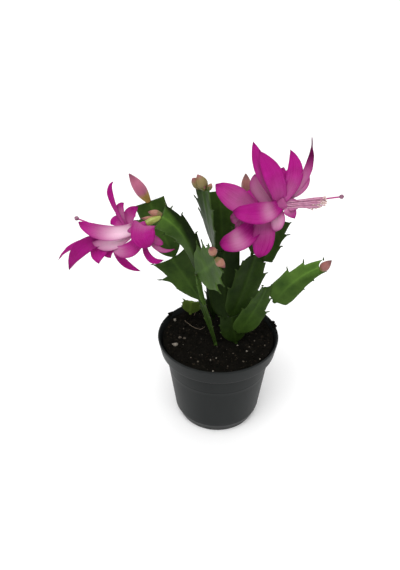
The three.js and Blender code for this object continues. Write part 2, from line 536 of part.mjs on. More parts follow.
// The stamens stand in an open ring round the style, on a collar at the mouth and apart at the anthers.
function stamenGeometry(axis, count) {
  const pieces = [];
  for (let k = 0; k < count; k++) {
    const turn = THREE.MathUtils.degToRad(STAMEN.arc * (k / (count - 1) - 0.5) + 90);
    const reach = STAMEN.shortest + (1 - STAMEN.shortest) * ((k * GOLDEN) % 1);
    const way = [0, 0.25, 0.5, 0.75, 1].map((step) => {
      const { point, across, normal } = bladeFrame(axis, new THREE.Vector3(0, 0, 1), step * reach);
      const radius = STAMEN.ring + STAMEN.spread * step * step;
      return point
        .addScaledVector(across, radius * Math.cos(turn))
        .addScaledVector(normal, radius * Math.sin(turn));
    });
    const radii = [...Array(4).fill(STAMEN.radius), STAMEN.anther];
    pieces.push(spindleGeometry(new THREE.CatmullRomCurve3(way), radii, 5));
  }
  const collar = [0, 0.25, 0.5, 0.75, 1].map((step) => {
    const turn = THREE.MathUtils.degToRad(STAMEN.arc * (step - 0.5) + 90);
    const { point, across, normal } = bladeFrame(axis, new THREE.Vector3(0, 0, 1), STAMEN.collar);
    return point
      .addScaledVector(across, STAMEN.ring * Math.cos(turn))
      .addScaledVector(normal, STAMEN.ring * Math.sin(turn));
  });
  pieces.push(spindleGeometry(new THREE.CatmullRomCurve3(collar), Array(9).fill(STAMEN.radius), 5));
  return join(pieces);
}

const mesh = (name, geometry, material) => {
  const made = new THREE.Mesh(geometry, material);
  made.name = name;
  return made;
};

const plant = new THREE.Group();
const byName = {};
const grown = [];
for (const spec of SEGMENTS) {
  const [mid, tip] = [toVector(spec.mid), toVector(spec.tip)];
  const placed = spec.base ?? spec.start;
  const start = placed ? toVector(placed) : jointOn(byName[spec.on], spec.shift, mid, STALK_RADIUS);
  const segment = { ...spec, face: toVector(spec.face).normalize(), curve: bowedCurve(start, mid, tip) };
  byName[spec.name] = segment;
  const material = spec.young ? MATERIALS.youngStem : MATERIALS.stem;
  const blade = segmentGeometry(segment);
  plant.add(mesh(spec.name, clearOf(blade, grown), material));
  grown.push(blade);
}

for (const bud of BUDS) {
  const tip = toVector(bud.tip);
  const foot = bud.radius * BUD_PROFILE[0];
  const start = jointOn(byName[bud.on], bud.shift, tip, foot);
  const radii = BUD_PROFILE.map((share) => share * bud.radius);
  const body = spindleGeometry(new THREE.LineCurve3(start, tip), radii, BUD_SIDES);
  plant.add(mesh(bud.name, clearOf(body, grown), MATERIALS.bud));
  grown.push(body);
}

for (const bloom of BLOOMS) {
  const [ovaryTop, mouth] = [toVector(bloom.ovary), toVector(bloom.mouth)];
  const start = jointOn(byName[bloom.on], bloom.shift, ovaryTop, OVARY_RADII[0]);
  const ovary = spindleGeometry(new THREE.LineCurve3(start, ovaryTop), OVARY_RADII, BUD_SIDES);

  const tube = bowedCurve(ovaryTop.clone(), toVector(bloom.bend), mouth);
  tube.v0.addScaledVector(tube.getTangent(0), CLEARANCE);
  const out = mouth.clone().addScaledVector(tube.getTangent(1), CLEARANCE);
  const bundle = new THREE.LineCurve3(out, toVector(bloom.stamens));
  const stamens = stamenGeometry(bundle, bloom.filaments);
  const styleEnd = toVector(bloom.style);
  const stigma = new THREE.IcosahedronGeometry(STIGMA_RADIUS, 1).translate(...styleEnd.toArray());
  const stalk = spindleGeometry(new THREE.LineCurve3(out, styleEnd), [STYLE_RADIUS, STYLE_RADIUS], 6);
  const style = join([stalk, stigma]);

  const petals = bloom.petals.map((petal) => petalGeometry(petalRoot(tube, petal), petal));
  const whole = join([spindleGeometry(tube, TUBE_RADII, TUBE_SIDES), ...petals]);
  const perianth = clearOf(whole, [...grown, ovary, stamens, style]);
  plant.add(
    mesh(bloom.name + "_ovary", clearOf(ovary, grown), MATERIALS.ovary),
    mesh(bloom.name + "_petals", perianth, MATERIALS.petal),
    mesh(bloom.name + "_stamens", clearOf(stamens, [style]), MATERIALS.stamen),
    mesh(bloom.name + "_style", style, MATERIALS.style),
  );
}

const roots = SEGMENTS.filter((spec) => spec.base).map((spec) => byName[spec.name].curve.getPoint(0));
const pottedCactus = new THREE.Group();
pottedCactus.add(
  mesh("pot", potGeometry(), MATERIALS.pot),
  mesh("soil", soilGeometry(roots), MATERIALS.soil),
  plant,
);

export default pottedCactus;
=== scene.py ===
# A potted Christmas cactus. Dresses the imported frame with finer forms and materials.
# Lengths in the tables are in millimetres, as in the part's source. Blender's own are in metres.
import math

import bmesh
import bpy
import numpy as np
from mathutils import Matrix, Vector, noise


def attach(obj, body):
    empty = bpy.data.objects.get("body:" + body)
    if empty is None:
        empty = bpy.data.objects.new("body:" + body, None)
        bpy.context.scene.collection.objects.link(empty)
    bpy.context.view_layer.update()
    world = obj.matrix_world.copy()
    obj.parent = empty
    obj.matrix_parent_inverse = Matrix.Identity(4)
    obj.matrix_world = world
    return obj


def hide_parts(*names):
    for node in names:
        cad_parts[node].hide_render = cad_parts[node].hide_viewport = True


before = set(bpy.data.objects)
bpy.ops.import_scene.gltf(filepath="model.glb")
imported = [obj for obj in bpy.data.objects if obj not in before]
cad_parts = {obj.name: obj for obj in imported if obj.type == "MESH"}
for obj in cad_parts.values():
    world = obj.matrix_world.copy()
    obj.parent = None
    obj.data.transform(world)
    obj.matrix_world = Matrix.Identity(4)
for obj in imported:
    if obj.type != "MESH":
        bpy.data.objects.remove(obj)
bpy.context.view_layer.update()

MM = 0.001
rng = np.random.default_rng(11)

# The plant's tables, the same as in the part's source, with each segment's tone added: painted light and
# shade.
# Across the rows of a blade, from foot to tip: share at the rib, share at the edge, reach and tooth.
SEGMENT_ROWS = [
    (0.0, 0.0, 0.1, 0), (0.05, 0.05, 0.17, 0), (0.12, 0.12, 0.4, 0), (0.23, 0.22, 0.66, 0),
    (0.36, 0.36, 0.87, -0.01), (0.46, 0.52, 0.96, 0.1), (0.51, 0.52, 0.97, -0.09),
    (0.62, 0.65, 0.97, -0.03), (0.72, 0.79, 0.95, 0.12), (0.77, 0.79, 0.94, -0.08),
    (0.88, 0.93, 0.88, -0.04), (1.0, 1.09, 0.84, 0),
]
# Along a petal: share of its length, and reach.
PETAL_ROWS = [(0.0, 0.35), (0.2, 0.58), (0.4, 0.92), (0.58, 1.0), (0.78, 0.72), (0.92, 0.34), (1.0, 0.08)]


def segment_name(stem, number):
    return f"{stem}_stem_segment_{number}"


def stem_row(stem, number, mid, tip, width, face, fold, on=None, tone=(0, 0, 0), **rest):
    """A stem segment, from its base in the soil, its start, or the tip of the one that it grows on.

    tone is painted light and shade: how much brighter it is than the rest, how much more so on its left
    than on its right, and how much more so at its tip than at its foot.
    """
    row = dict(rest, name=segment_name(stem, number), mid=mid, tip=tip, width=width, face=face, fold=fold)
    return dict(row, on=on and segment_name(stem, on), tone=tone)


SEGMENTS = [
    stem_row("left", 1, (-20.5, 28, 76), (-20, 27, 82), 15, (-0.1, -1, 0.3), 0.1, base=(-21, 28, 69.6),
        notch=0.3, young=True),
    stem_row("back", 1, (-4, 21, 84), (-5, 20, 98), 12.5, (-0.75, -0.65, 0), 0.1, base=(-3, 22, 69.6),
        tone=(-0.7, 0, 0)),
    stem_row("middle", 1, (-6.4, -11, 89.3), (-11, -11, 106), 12, (-0.95, -0.45, 0.1), 0.15,
        base=(-2, -11, 69.6), taper=-0.3),
    stem_row("middle", 2, (-13, -15, 121), (-15, -16, 134), 12, (-1, 0.1, 0), 0.1, on=1, shift=0.3,
        tone=(0.9, 0, 0)),
    stem_row("middle", 3, (-22, -17, 160), (-37, -21, 178), 14, (-0.45, -0.65, 0.75), -0.25, on=2,
        shift=-0.3, taper=-0.2, round=0.75, horn=0.1, tone=(-0.1, 1.4, 0.4)),
    stem_row("middle", 4, (-7.5, -30, 147.5), (-3.8, -40, 158.8), 30, (-0.85, -0.5, -0.1), 0.1, on=2,
        shift=0.4, taper=0.25, round=0.25, notch=1.7, tone=(0.7, 0, 0)),
    stem_row("middle", 5, (-21.5, 1, 117), (-33, 5, 133.5), 21, (-0.2, -1, 0.2), 0.12, on=1, shift=-0.4,
        taper=-0.5, notch=2, lower=0.1, tone=(0.15, 0.1, 0)),
    stem_row("middle", 6, (-40, 9, 154), (-47.2, 11, 173.9), 23, (0.1, -1, 0.2), 0.12, on=5, shift=0.2,
        round=0.4, horn=0.2, tone=(0.3, 0, 0)),
    stem_row("right", 1, (11, -9, 82), (9, -8, 93), 20, (0.1, -1, 0.2), 0.1, base=(13, -9, 69.6), notch=0.3,
        tone=(-0.45, 0, 0)),
    stem_row("right", 2, (16.5, -6, 115), (23.8, -1, 139.7), 26, (0.45, -0.9, 0.1), 0.2, on=1, shift=0,
        taper=0.15, round=0.3, horn=-1.5, tone=(-0.1, -0.15, 0)),
    stem_row("right", 3, (4, 1, 115), (3, 5, 139.5), 24, (-0.1, -1, 0.1), 0.1, on=1, shift=-0.5, round=0.6,
        tone=(-0.5, 0, 0)),
    stem_row("right", 4, (24, -16, 105), (30, -21, 126), 17.5, (0.3, -0.9, 0.3), 0.25,
        start=(14.2, -11.5, 82), taper=0.5, round=0.55, notch=1.2, horn=0.8, tone=(0.2, 0, 0)),
    stem_row("right", 5, (49.1, -23, 133.2), (63, -25, 144.3), 16, (-0.15, -0.9, 0.4), 0.1,
        start=(37.3, -19.5, 114.3), taper=0.4, round=0.75, notch=1.6, right=0.2, horn=1.1,
        tone=(0.95, 0.7, 0.5)),
    stem_row("right", 6, (34.9, 6, 145), (41.2, 10, 160.5), 15, (0.2, -1, 0.2), 0.15,
        start=(29.9, 2, 133.4), round=0.9, notch=1.5, lower=0.6, horn=0.3),
    stem_row("right", 7, (25, 13, 153), (20, 19, 174.5), 15, (0.1, -1, 0.2), 0.1, on=2, shift=-0.2,
        round=0.6),
    stem_row("right", 8, (-7.5, -8, 169), (-11, -10, 191), 22, (-0.9, -0.45, 0.1), 0.15, on=3, shift=-0.55,
        notch=1.5, horn=0.5, tone=(0.15, -0.3, 0)),
    stem_row("right", 9, (0.6, 8, 162), (-1, 12, 181), 21.5, (0.3, -1, 0.1), 0.15, on=3, shift=-0.1,
        round=0.6, horn=0.2, tone=(-0.1, -0.1, 0.3)),
    stem_row("right", 10, (9, -6, 151), (11, -8, 160), 11, (0, -1, 0.2), 0.1, on=3, shift=0.5),
]
# Name, stem and number of the segment below, share of its half width, tip and radius.
BUDS = [
    ("bud_long", "middle", 6, -0.05, (-59, 8, 194.5), 4),
    ("bud_left_upper", "middle", 3, 0.15, (-45.5, -19, 180.5), 2.3),
    ("bud_left_lower", "middle", 3, -0.2, (-50, -19, 176), 1.6),
    ("bud_middle_front", "middle", 4, 0, (1.5, -44, 155.5), 2.7),
    ("bud_middle_back", "middle", 4, -0.2, (-7, -41, 168), 2.6),
    ("bud_right_side", "right", 5, 0.2, (68.3, -28, 149.6), 3),
    ("bud_right_back", "right", 7, -0.2, (17, 21, 189.5), 3.5),
    ("bud_top_left", "right", 8, -0.45, (-18, -12, 199.5), 3),
    ("bud_top_middle", "right", 8, 0.15, (-15, -11, 201.5), 3.5),
    ("bud_top_front", "right", 8, -0.1, (-10.5, -15, 195.5), 1.5),
    ("bud_top_right", "right", 8, 0.6, (-6.5, -8, 194.5), 1.6),
]
# A petal's row: share of the tube where it starts, middle, tip, width, face, and how much broader than
# the rows above its tip and its foot are.
BLOOMS = [
    dict(name="bloom_left", on=segment_name("middle", 3), shift=-0.1, ovary=(-46.5, -25, 175.5),
         bend=(-58, -27, 171), mouth=(-71, -28, 169), stamens=(-80, -26, 171), style=(-88, -27, 180),
         filaments=7, petals=[
        (0.4, (-70, -35, 174.5), (-85.5, -34, 181), 9.5, (-0.1, -0.9, 0.3), 0.35, 0.5),
        (0.9, (-84.5, -33, 163.5), (-95.5, -33, 147), 9.5, (-0.4, -0.9, 0.3), 0, 0.5),
        (1, (-89.5, -26, 162), (-104, -24, 149), 4, (0.2, -0.4, 0.9), 0, 0),
        (0.9, (-75, -33, 161.5), (-76, -34, 152.5), 10, (-0.3, -0.9, 0.3), 0, 0.6),
        (0.75, (-69.5, -31, 162), (-68.5, -33, 156), 9, (0, -0.9, 0.3), 0, 0.5),
        (1, (-62.5, -30, 152.6), (-51, -30, 144.5), 5, (0.3, -0.8, 0.5), 0, 0),
        (0.05, (-55.5, -34, 163), (-67, -33, 163), 9, (0, -0.9, 0.3), 0.4, 0),
        (0.15, (-45.5, -35, 158.5), (-36, -33, 154.5), 4.5, (0.6, -0.7, 0.1), 0.3, 0),
        (0.05, (-47, -38, 174), (-43.5, -38, 166.5), 14.5, (0, -0.9, 0.4), 0.15, 0.9),
        (0.4, (-67, -33, 166), (-79, -33, 167), 8, (0, -0.9, 0.2), 0.3, 0),
        (0.1, (-40, -33, 163), (-29, -29, 160), 3.2, (0.2, -0.7, 0.7), 0, 0),
        (0.1, (-41, -31, 167.5), (-36, -31, 165.5), 5, (0.2, -0.9, 0.4), 0.3, 0),
        (0.55, (-67.3, -19, 190), (-65.5, -17, 199.5), 3.8, (-0.2, -0.9, 0.3), 0, 0),
        (0.5, (-62.5, -20, 181), (-60, -18, 186), 6, (-0.2, -0.9, 0.2), 0.2, 0),
        (0.35, (-57, -19, 178), (-51.5, -17, 183), 7.5, (0, -0.8, 0.4), 0.2, 0),
        (0.7, (-64.5, -22, 175.5), (-69, -21, 173), 7, (-0.3, -0.6, 0.7), 0.3, 0),
    ]),
    dict(name="bloom_right", on=segment_name("right", 10), shift=0, ovary=(15, -10, 167),
         bend=(27, -12, 176), mouth=(40, -13.5, 185), stamens=(63.5, -19, 188.5), style=(72, -20, 191),
         filaments=10, petals=[
        (0.95, (24.5, -13, 203.5), (18, -8, 221), 9.5, (0.1, -0.9, 0.4), 0, 0.3),
        (1, (30.6, -17.6, 202), (21.3, -13, 217.2), 12, (0.1, -0.9, 0.3), 0, 0.6),
        (1, (34.5, -16, 198), (36.8, -13, 207), 9, (0, -0.9, 0.3), 0.2, 0),
        (1, (42.8, -16, 202), (39.8, -12, 217.5), 10, (0, -0.9, 0.3), 0, 0.5),
        (1, (49, -15, 202), (51, -16, 226.5), 6.5, (0.4, -0.9, 0.2), -0.8, 1),
        (0.9, (46, -13.5, 195), (50.3, -14, 204), 10, (0.2, -0.9, 0.4), 0.2, 0),
        (0.8, (24, -5, 190), (21, 1, 197), 11, (-0.2, -0.9, 0.3), 0, 0.8),
        (0.5, (9.5, -17, 187.5), (-4, -14, 196.5), 15, (0.1, -0.9, 0.4), 0.25, 0),
        (0.95, (23.5, -27, 183.5), (6.5, -24, 183), 13, (0, -0.9, 0.4), 0.45, 0),
        (0.4, (12.5, -27, 167), (-1.5, -30, 164.5), 14, (0, -0.9, 0.4), 0.5, 0.3),
        (0.5, (26, -23, 166), (24, -25, 151.5), 14, (0.1, -0.9, 0.3), 0.4, 0.6),
        (1, (41, -17, 181.5), (45.5, -18, 175.5), 8, (0.3, -0.9, 0.2), 0.2, 0),
        (0.9, (34.5, -20, 176), (34, -22, 168.5), 9, (0.1, -0.9, 0.2), 0.45, 0),
        (1, (42, -16, 184), (48, -17, 183), 8, (0, -0.9, 0.4), 0.4, 0),
        (0.4, (16.5, -21, 169), (17, -22, 158.5), 12, (0, -0.9, 0.4), 0.4, 0.5),
        (0.25, (11.5, -15, 174.5), (6, -14, 172), 9, (0, -0.9, 0.4), 0.3, 0),
        (0.2, (13.5, -19, 171), (9, -19, 168), 9, (0, -0.9, 0.4), 0.3, 0),
        (1, (42, 4, 190), (44, 16, 194), 10, (0.1, -0.4, 0.9), 0, 0),
        (0.3, (20, 4, 178), (19, 14, 181), 10, (-0.3, -0.4, 0.8), 0, 0),
    ]),
]
# End of the plant's tables

LOWER_TEETH = 0.55  # the lower tooth of each side stands below this share of the rib
ROW_COUNTS = (34, 13, 13)  # fine rows up to the lower tooth, to the upper tooth and to the horn
TOOTH_ROWS = (33, 46, 59)  # the rows that end on them
RIB_THICKNESS = 2.6
LAMINA_THICKNESS = 1.6
EDGE_THICKNESS = 0.8
DARKEST_PAINTED_SHADE = -0.7  # no painted shade on a segment goes below this
TOOTH_POINT = 1.4  # length of the fine point on a full tooth
STALK_RADIUS = 1.1
CLEARANCE = 0.3
JOINT_SHARE = 0.035  # share of its length that a blade reaches back into its joint
BUD_SEAT = 0.5
BUD_PROFILE = [0.45, 0.8, 1.0, 0.92, 0.62, 0.12]
TUBE_RADII = [2, 2.8, 3.6, 3.9, 4.4]
OVARY_SEAT = 0.6
OVARY_RADII = [1.1, 1.9, 2.1, 1.8]
PETAL_BEARING = 0.9
POINT_START = 0.5
POINT_WIDTH = 0.8
LONG_POINT = 1.6  # a petal with a negative blunt has a point this much wider, and dark
PETAL_SEAT = 0.6
PETAL_CUP = 0.3
PETAL_SHEET = 0.4  # thickness of a petal's blade
TUBE_SHEET = 0.5
STAMEN = {"ring": 2.2, "spread": 1.6, "arc": 270, "shortest": 0.72, "sag": 9}
STAMEN_SHARE = 6  # fine filaments for each one of the solid bundle
FILAMENT_RADIUS = 0.3
ANTHER = 0.55
STYLE_RADIUS = 0.5
STIGMA_RADIUS = 1.45

POT_HEIGHT = 72
RIM_RADIUS = 45
BAND_RADIUS = 43
BAND_HEIGHT = 11.5
SHOULDER_HEIGHT = 1.5
WALL_RADIUS = 39.4
HEEL_RADIUS = 33
HEEL_HEIGHT = 8
FOOT_RADIUS = 29.5
POT_WALL = 1.4
POT_FLOOR = 2
CHANNEL = [(20, 0), (21, 1), (24, 1), (25, 0)]  # round the underside: radius and height
DRAIN_HOLES = {"count": 6, "ring": 22.5, "radius": 3.2}
MOULD_LINE = 46  # height of the faint seam round the wall
RECESSES = {"angles": [184, 341, 62, 122], "width": 11, "depth": 2.4, "low": 2.2, "high": 9}
SOIL_LEVEL = 69.3
SOIL_RADIUS = 41
SOIL_PLUG = ((39, 60), (30, 9), (27, 3))  # its body below the surface: radius and height
CRUMBS = 1500
FINE_GRAINS = 90
FIBRE_RADIUS = 0.16
FLOOR_REACH = 30.0  # metres from the middle to each side

# The camera that took the photo, from the shape of the pot in it.
PHOTO_HEIGHT = 570  # pixels
FOCAL_PIXELS = 558.3
CAMERA_PLACE = (-0.0135, -0.3322, 0.329)  # metres
LOOKS_DOWN = 32.83  # degrees


def unit(v):
    return v / np.linalg.norm(v)


def vec(p):
    return np.array(p, float)


def linked(name, data):
    made = bpy.data.objects.new(name, data)
    bpy.context.scene.collection.objects.link(made)
    return made


def wave(point, scale, seed=0.0):
    """Smooth noise of about -1 to 1 at a place in millimetres, with features of the given size."""
    return noise.noise(Vector(point) / scale + Vector((seed, 1.7 * seed, -seed)))


class Bow:
    """A smooth way from start over middle, which is reached half way, to end."""

    def __init__(self, start, middle, end):
        self.a, self.c = vec(start), vec(end)
        self.b = 2 * vec(middle) - (self.a + self.c) / 2
        steps = np.array([self.point(t) for t in np.linspace(0, 1, 81)])
        self.length = np.linalg.norm(np.diff(steps, axis=0), axis=1).sum()

    def point(self, t):
        return (1 - t) ** 2 * self.a + 2 * (1 - t) * t * self.b + t * t * self.c

    def frame(self, face, share):
        """The point, along, across and normal of a blade at a share of its length."""
        inside = min(max(share, 0.0), 1.0)
        along = unit((1 - inside) * (self.b - self.a) + inside * (self.c - self.b))
        across = unit(np.cross(along, unit(vec(face))))
        point = self.point(inside) + along * (share - inside) * self.length
        return point, along, across, np.cross(across, along)


class Shape:
    """Collects vertices, faces, a material per face and named values per vertex, then makes one object."""

    def __init__(self):
        self.verts, self.faces, self.looks, self.values = [], [], [], {}

    def add(self, verts, faces, look=0, **values):
        base = len(self.verts)
        self.verts.extend(np.asarray(verts, float).tolist())
        self.faces.extend([[base + i for i in f] for f in faces])
        self.looks.extend([look] * len(faces))
        for name in set(self.values) | set(values):
            column = self.values.setdefault(name, [0.0] * base)
            given = values.get(name, 0.0)
            column.extend(np.broadcast_to(given, (len(verts),)).tolist())

    def add_spindle(self, look, *form, **values):
        verts, faces, _ = spindle(*form)
        self.add(verts, faces, look, **values)

    def make(self, name, materials, replaced=(), smooth=True):
        mesh = bpy.data.meshes.new(name)
        mesh.from_pydata((np.array(self.verts) * MM).tolist(), [], self.faces)
        mesh.polygons.foreach_set("material_index", self.looks)
        mesh.polygons.foreach_set("use_smooth", [smooth] * len(self.faces))
        for value, column in self.values.items():
            mesh.attributes.new(value, "FLOAT", "POINT").data.foreach_set("value", column)
        for material in materials:
            mesh.materials.append(material)
        mesh.validate()
        made = linked(name, mesh)
        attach(made, "root")
        if replaced:
            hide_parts(*replaced)
        return made


def sheet(upper, lower):
    """A closed thin body between two grids of points."""
    rows, columns = upper.shape[:2]
    verts = np.concatenate([upper.reshape(-1, 3), lower.reshape(-1, 3)])
    index = np.arange(rows * columns).reshape(rows, columns)
    low = index + rows * columns
    faces = []
    for i in range(rows - 1):
        for j in range(columns - 1):
            faces.append([index[i, j], index[i, j + 1], index[i + 1, j + 1], index[i + 1, j]])
            faces.append([low[i, j], low[i + 1, j], low[i + 1, j + 1], low[i, j + 1]])
        faces.append([index[i, 0], index[i + 1, 0], low[i + 1, 0], low[i, 0]])
        faces.append([index[i + 1, -1], index[i, -1], low[i, -1], low[i + 1, -1]])
    for j in range(columns - 1):
        faces.append([index[0, j], low[0, j], low[0, j + 1], index[0, j + 1]])
        faces.append([low[-1, j], index[-1, j], index[-1, j + 1], low[-1, j + 1]])
    return verts, faces


def circle(radius, sides):
    """Points of a level circle about the pot's axis."""
    turns = np.linspace(0, 2 * math.pi, sides + 1)[:-1]
    return [(radius * math.cos(a), radius * math.sin(a)) for a in turns]


def ring_faces(first, second, sides):
    """Faces between two rings of vertices, given by the number of the first vertex of each."""
    after = [(k + 1) % sides for k in range(sides)]
    return [[first + k, second + k, second + n, first + n] for k, n in enumerate(after)]


def rounds(centres, rings):
    """A body of rings of points, with its ends closed to the given centres."""
    rings = np.asarray(rings)
    count, sides = rings.shape[:2]
    verts = rings.reshape(-1, 3).tolist()
    faces = []
    for i in range(count - 1):
        faces += ring_faces(i * sides, (i + 1) * sides, sides)
    verts += [list(centres[0]), list(centres[1])]
    last = (count - 1) * sides
    for k in range(sides):
        n = (k + 1) % sides
        faces.append([count * sides, k, n])
        faces.append([count * sides + 1, last + n, last + k])
    return np.array(verts), faces


def strand(line, ways, radius, reference):
    """A thin body of six sides along a line of points, with the way that it takes at each."""
    circles = []
    for place, along in zip(line, ways):
        along = unit(along)
        across = unit(np.cross(along, reference))
        normal = np.cross(across, along)
        turns = np.linspace(0, 2 * math.pi, 7)[:-1]
        circles.append([place + radius * (across * math.cos(a) + normal * math.sin(a)) for a in turns])
    return rounds((line[0], line[-1]), circles)


def smoothed(knots, values, at):
    """A Catmull-Rom curve through values at the knots."""
    knots, values = np.asarray(knots, float), np.asarray(values, float)
    slopes = np.gradient(values, knots)
    i = np.clip(np.searchsorted(knots, at, side="right") - 1, 0, len(knots) - 2)
    h = knots[i + 1] - knots[i]
    t = (at - knots[i]) / h
    return (
        (2 * t**3 - 3 * t**2 + 1) * values[i]
        + (t**3 - 2 * t**2 + t) * h * slopes[i]
        + (3 * t**2 - 2 * t**3) * values[i + 1]
        + (t**3 - t**2) * h * slopes[i + 1]
    )


def through(places, count):
    """A smooth line of points through the given places."""
    knots = np.arange(len(places))
    shares = np.linspace(0, len(places) - 1, count)
    return np.array([[smoothed(knots, places[:, axis], t) for axis in range(3)] for t in shares])


def spindle(bow, radii, sides, rings, bulge=None):
    """A round body along a curve. bulge(share, angle) gives a factor on its radius."""
    reference = (0.13, 0.98, 0.15)
    knots = np.linspace(0, 1, len(radii))
    made, shares = [], []
    for share in np.linspace(0, 1, rings):
        point, _, across, normal = bow.frame(reference, share)
        radius = float(smoothed(knots, radii, share))
        ring = []
        for k in range(sides):
            turn = 2 * math.pi * k / sides
            reach = radius * (bulge(share, turn) if bulge else 1)
            ring.append(point + across * reach * math.cos(turn) + normal * reach * math.sin(turn))
        made.append(ring)
        shares += [share] * sides
    verts, faces = rounds((bow.point(0), bow.point(1)), made)
    return verts, faces, np.array(shares + [0, 1])


# Materials


class Nodes:
    """A material under construction."""

    def __init__(self, name):
        self.material = bpy.data.materials.new(name)
        self.material.use_nodes = True
        self.tree = self.material.node_tree
        self.shader = self.tree.nodes["Principled BSDF"]

    def put(self, kind, inputs=None, **settings):
        node = self.tree.nodes.new(kind)
        for key, value in settings.items():
            setattr(node, key, value)
        for key, value in (inputs or {}).items():
            self.feed(node.inputs[key], value)
        return node

    def feed(self, socket, value):
        if isinstance(value, bpy.types.NodeSocket):
            self.tree.links.new(value, socket)
        else:
            socket.default_value = value

    def set(self, **values):
        for key, value in values.items():
            self.feed(self.shader.inputs[key.replace("_", " ")], value)

    def value(self, name):
        return self.put("ShaderNodeAttribute", attribute_name=name).outputs["Fac"]

    def math(self, operation, a, b=0.0, clamp=False):
        return self.put("ShaderNodeMath", {0: a, 1: b}, operation=operation, use_clamp=clamp).outputs[0]

    def place(self):
        return self.put("ShaderNodeTexCoord").outputs["Object"]

    def noise(self, scale, detail=4.0, roughness=0.55, vector=None):
        inputs = {"Scale": scale, "Detail": detail, "Roughness": roughness}
        inputs["Vector"] = vector or self.place()
        return self.put("ShaderNodeTexNoise", inputs).outputs["Fac"]

    def ramp(self, factor, stops):
        node = self.put("ShaderNodeValToRGB", {"Fac": factor})
        elements = node.color_ramp.elements
        while len(elements) < len(stops):
            elements.new(0.5)
        for element, (position, color) in zip(elements, stops):
            element.position = position
            element.color = (*color, 1)
        return node.outputs["Color"]

    def grey(self, factor, low, high, start=0.0, end=1.0):
        inputs = {0: factor, 1: start, 2: end, 3: low, 4: high}
        return self.put("ShaderNodeMapRange", inputs).outputs[0]

    def mix(self, factor, a, b, blend="MIX"):
        node = self.put("ShaderNodeMix", data_type="RGBA", blend_type=blend)
        for socket, value in ((0, factor), (6, a), (7, b)):
            if isinstance(value, tuple):
                value = (*value, 1)
            self.feed(node.inputs[socket], value)
        return node.outputs[2]

    def combined(self, x, y, z):
        return self.put("ShaderNodeCombineXYZ", {0: x, 1: y, 2: z}).outputs[0]

    def bump(self, height, strength, distance, normal=None):
        inputs = {"Height": height, "Strength": strength, "Distance": distance}
        if normal is not None:
            inputs["Normal"] = normal
        return self.put("ShaderNodeBump", inputs).outputs["Normal"]


def stem_look(name, deep, bright, painted_sheen):
    """Waxy stem tissue: mottled green, paler along the rib, with a painted sheen along the edge, and fine
    pits.
    """
    n = Nodes(name)
    mottle = n.noise(90, 5)
    fine = n.noise(900, 3)
    rib, edge, tone = n.value("rib"), n.value("edge"), n.value("tone")
    base = n.ramp(mottle, [(0.3, deep), (0.72, bright)])
    base = n.mix(n.math("MULTIPLY", rib, 0.4), base, tuple(1.6 * c for c in bright))
    # Painted sheen along the edges of the blade.
    base = n.mix(n.math("MULTIPLY", edge, 0.3), base, tuple(0.9 * c for c in painted_sheen))
    # tone is painted light and shade on each segment; the fine noise adds a random tone.
    shade = n.math("ADD", tone, n.grey(fine, 0.88, 1.12))
    base = n.mix(1.0, base, n.combined(shade, shade, shade), "MULTIPLY")
    relief = n.bump(fine, 0.25, 0.0002, n.bump(mottle, 0.35, 0.0012))
    n.set(Base_Color=base, Roughness=n.grey(mottle, 0.36, 0.5), Normal=relief)
    n.set(Specular_IOR_Level=0.06)
    return n.material


def petal_look(name, deep, bright, pale):
    """Silky petal: magenta with long fine veins, going to near white where the value white is high (pale
    bases, and painted highlights), and darker where the value dark is high (dark tips, margins and tube,
    and painted shade on the dusky petals).
    """
    n = Nodes(name)
    streaks = n.combined(n.value("along"), n.math("MULTIPLY", n.value("side"), 26.0), n.value("tone"))
    veins = n.noise(2.2, 4, 0.6, streaks)
    cloud = n.noise(120, 3)
    pattern = n.math("ADD", n.math("MULTIPLY", veins, 0.6), n.math("MULTIPLY", cloud, 0.4))
    base = n.ramp(pattern, [(0.32, deep), (0.68, bright)])
    pale_and_painted_highlight = n.math("ADD", n.value("white"), n.grey(veins, -0.1, 0.1), clamp=True)
    base = n.mix(pale_and_painted_highlight, base, pale)
    base = n.mix(n.math("MULTIPLY", n.value("dark"), 0.75), base, tuple(0.35 * c for c in deep))
    n.set(Base_Color=base, Roughness=0.42, Normal=n.bump(veins, 0.3, 0.0005))
    n.set(Specular_IOR_Level=0.06)
    n.set(Subsurface_Weight=0.2, Subsurface_Radius=(1.0, 0.35, 0.7), Subsurface_Scale=0.0012)
    return n.material


def bud_look(name, foot, body, tip):
    """Waxy bud: olive foot, pink body, darker point, with faint long ribs."""
    n = Nodes(name)
    cloud = n.noise(260, 4)
    place = n.math("ADD", n.value("along"), n.grey(cloud, -0.06, 0.06))
    light = tuple(1.15 * c for c in body)
    base = n.ramp(place, [(0.24, foot), (0.38, body), (0.72, light), (0.97, tip)])
    base = n.mix(n.grey(n.noise(700, 3), 0.0, 0.25), base, tuple(0.6 * c for c in body))
    n.set(Base_Color=base, Roughness=0.42, Normal=n.bump(cloud, 0.2, 0.0006))
    n.set(Specular_IOR_Level=0.2)
    n.set(Subsurface_Weight=0.15, Subsurface_Radius=(1.0, 0.4, 0.3), Subsurface_Scale=0.0015)
    return n.material


def plain_look(name, low, high, roughness, scale=400, relief=0.3, depth=0.0004, subsurface=0.0):
    """Soft matter in two tones of one colour."""
    n = Nodes(name)
    cloud = n.noise(scale, 4)
    base = n.ramp(cloud, [(0.3, low), (0.7, high)])
    n.set(Base_Color=base, Roughness=roughness, Normal=n.bump(cloud, relief, depth))
    if subsurface:
        n.set(Subsurface_Weight=subsurface, Subsurface_Radius=(1.0, 0.5, 0.5), Subsurface_Scale=0.001)
    return n.material


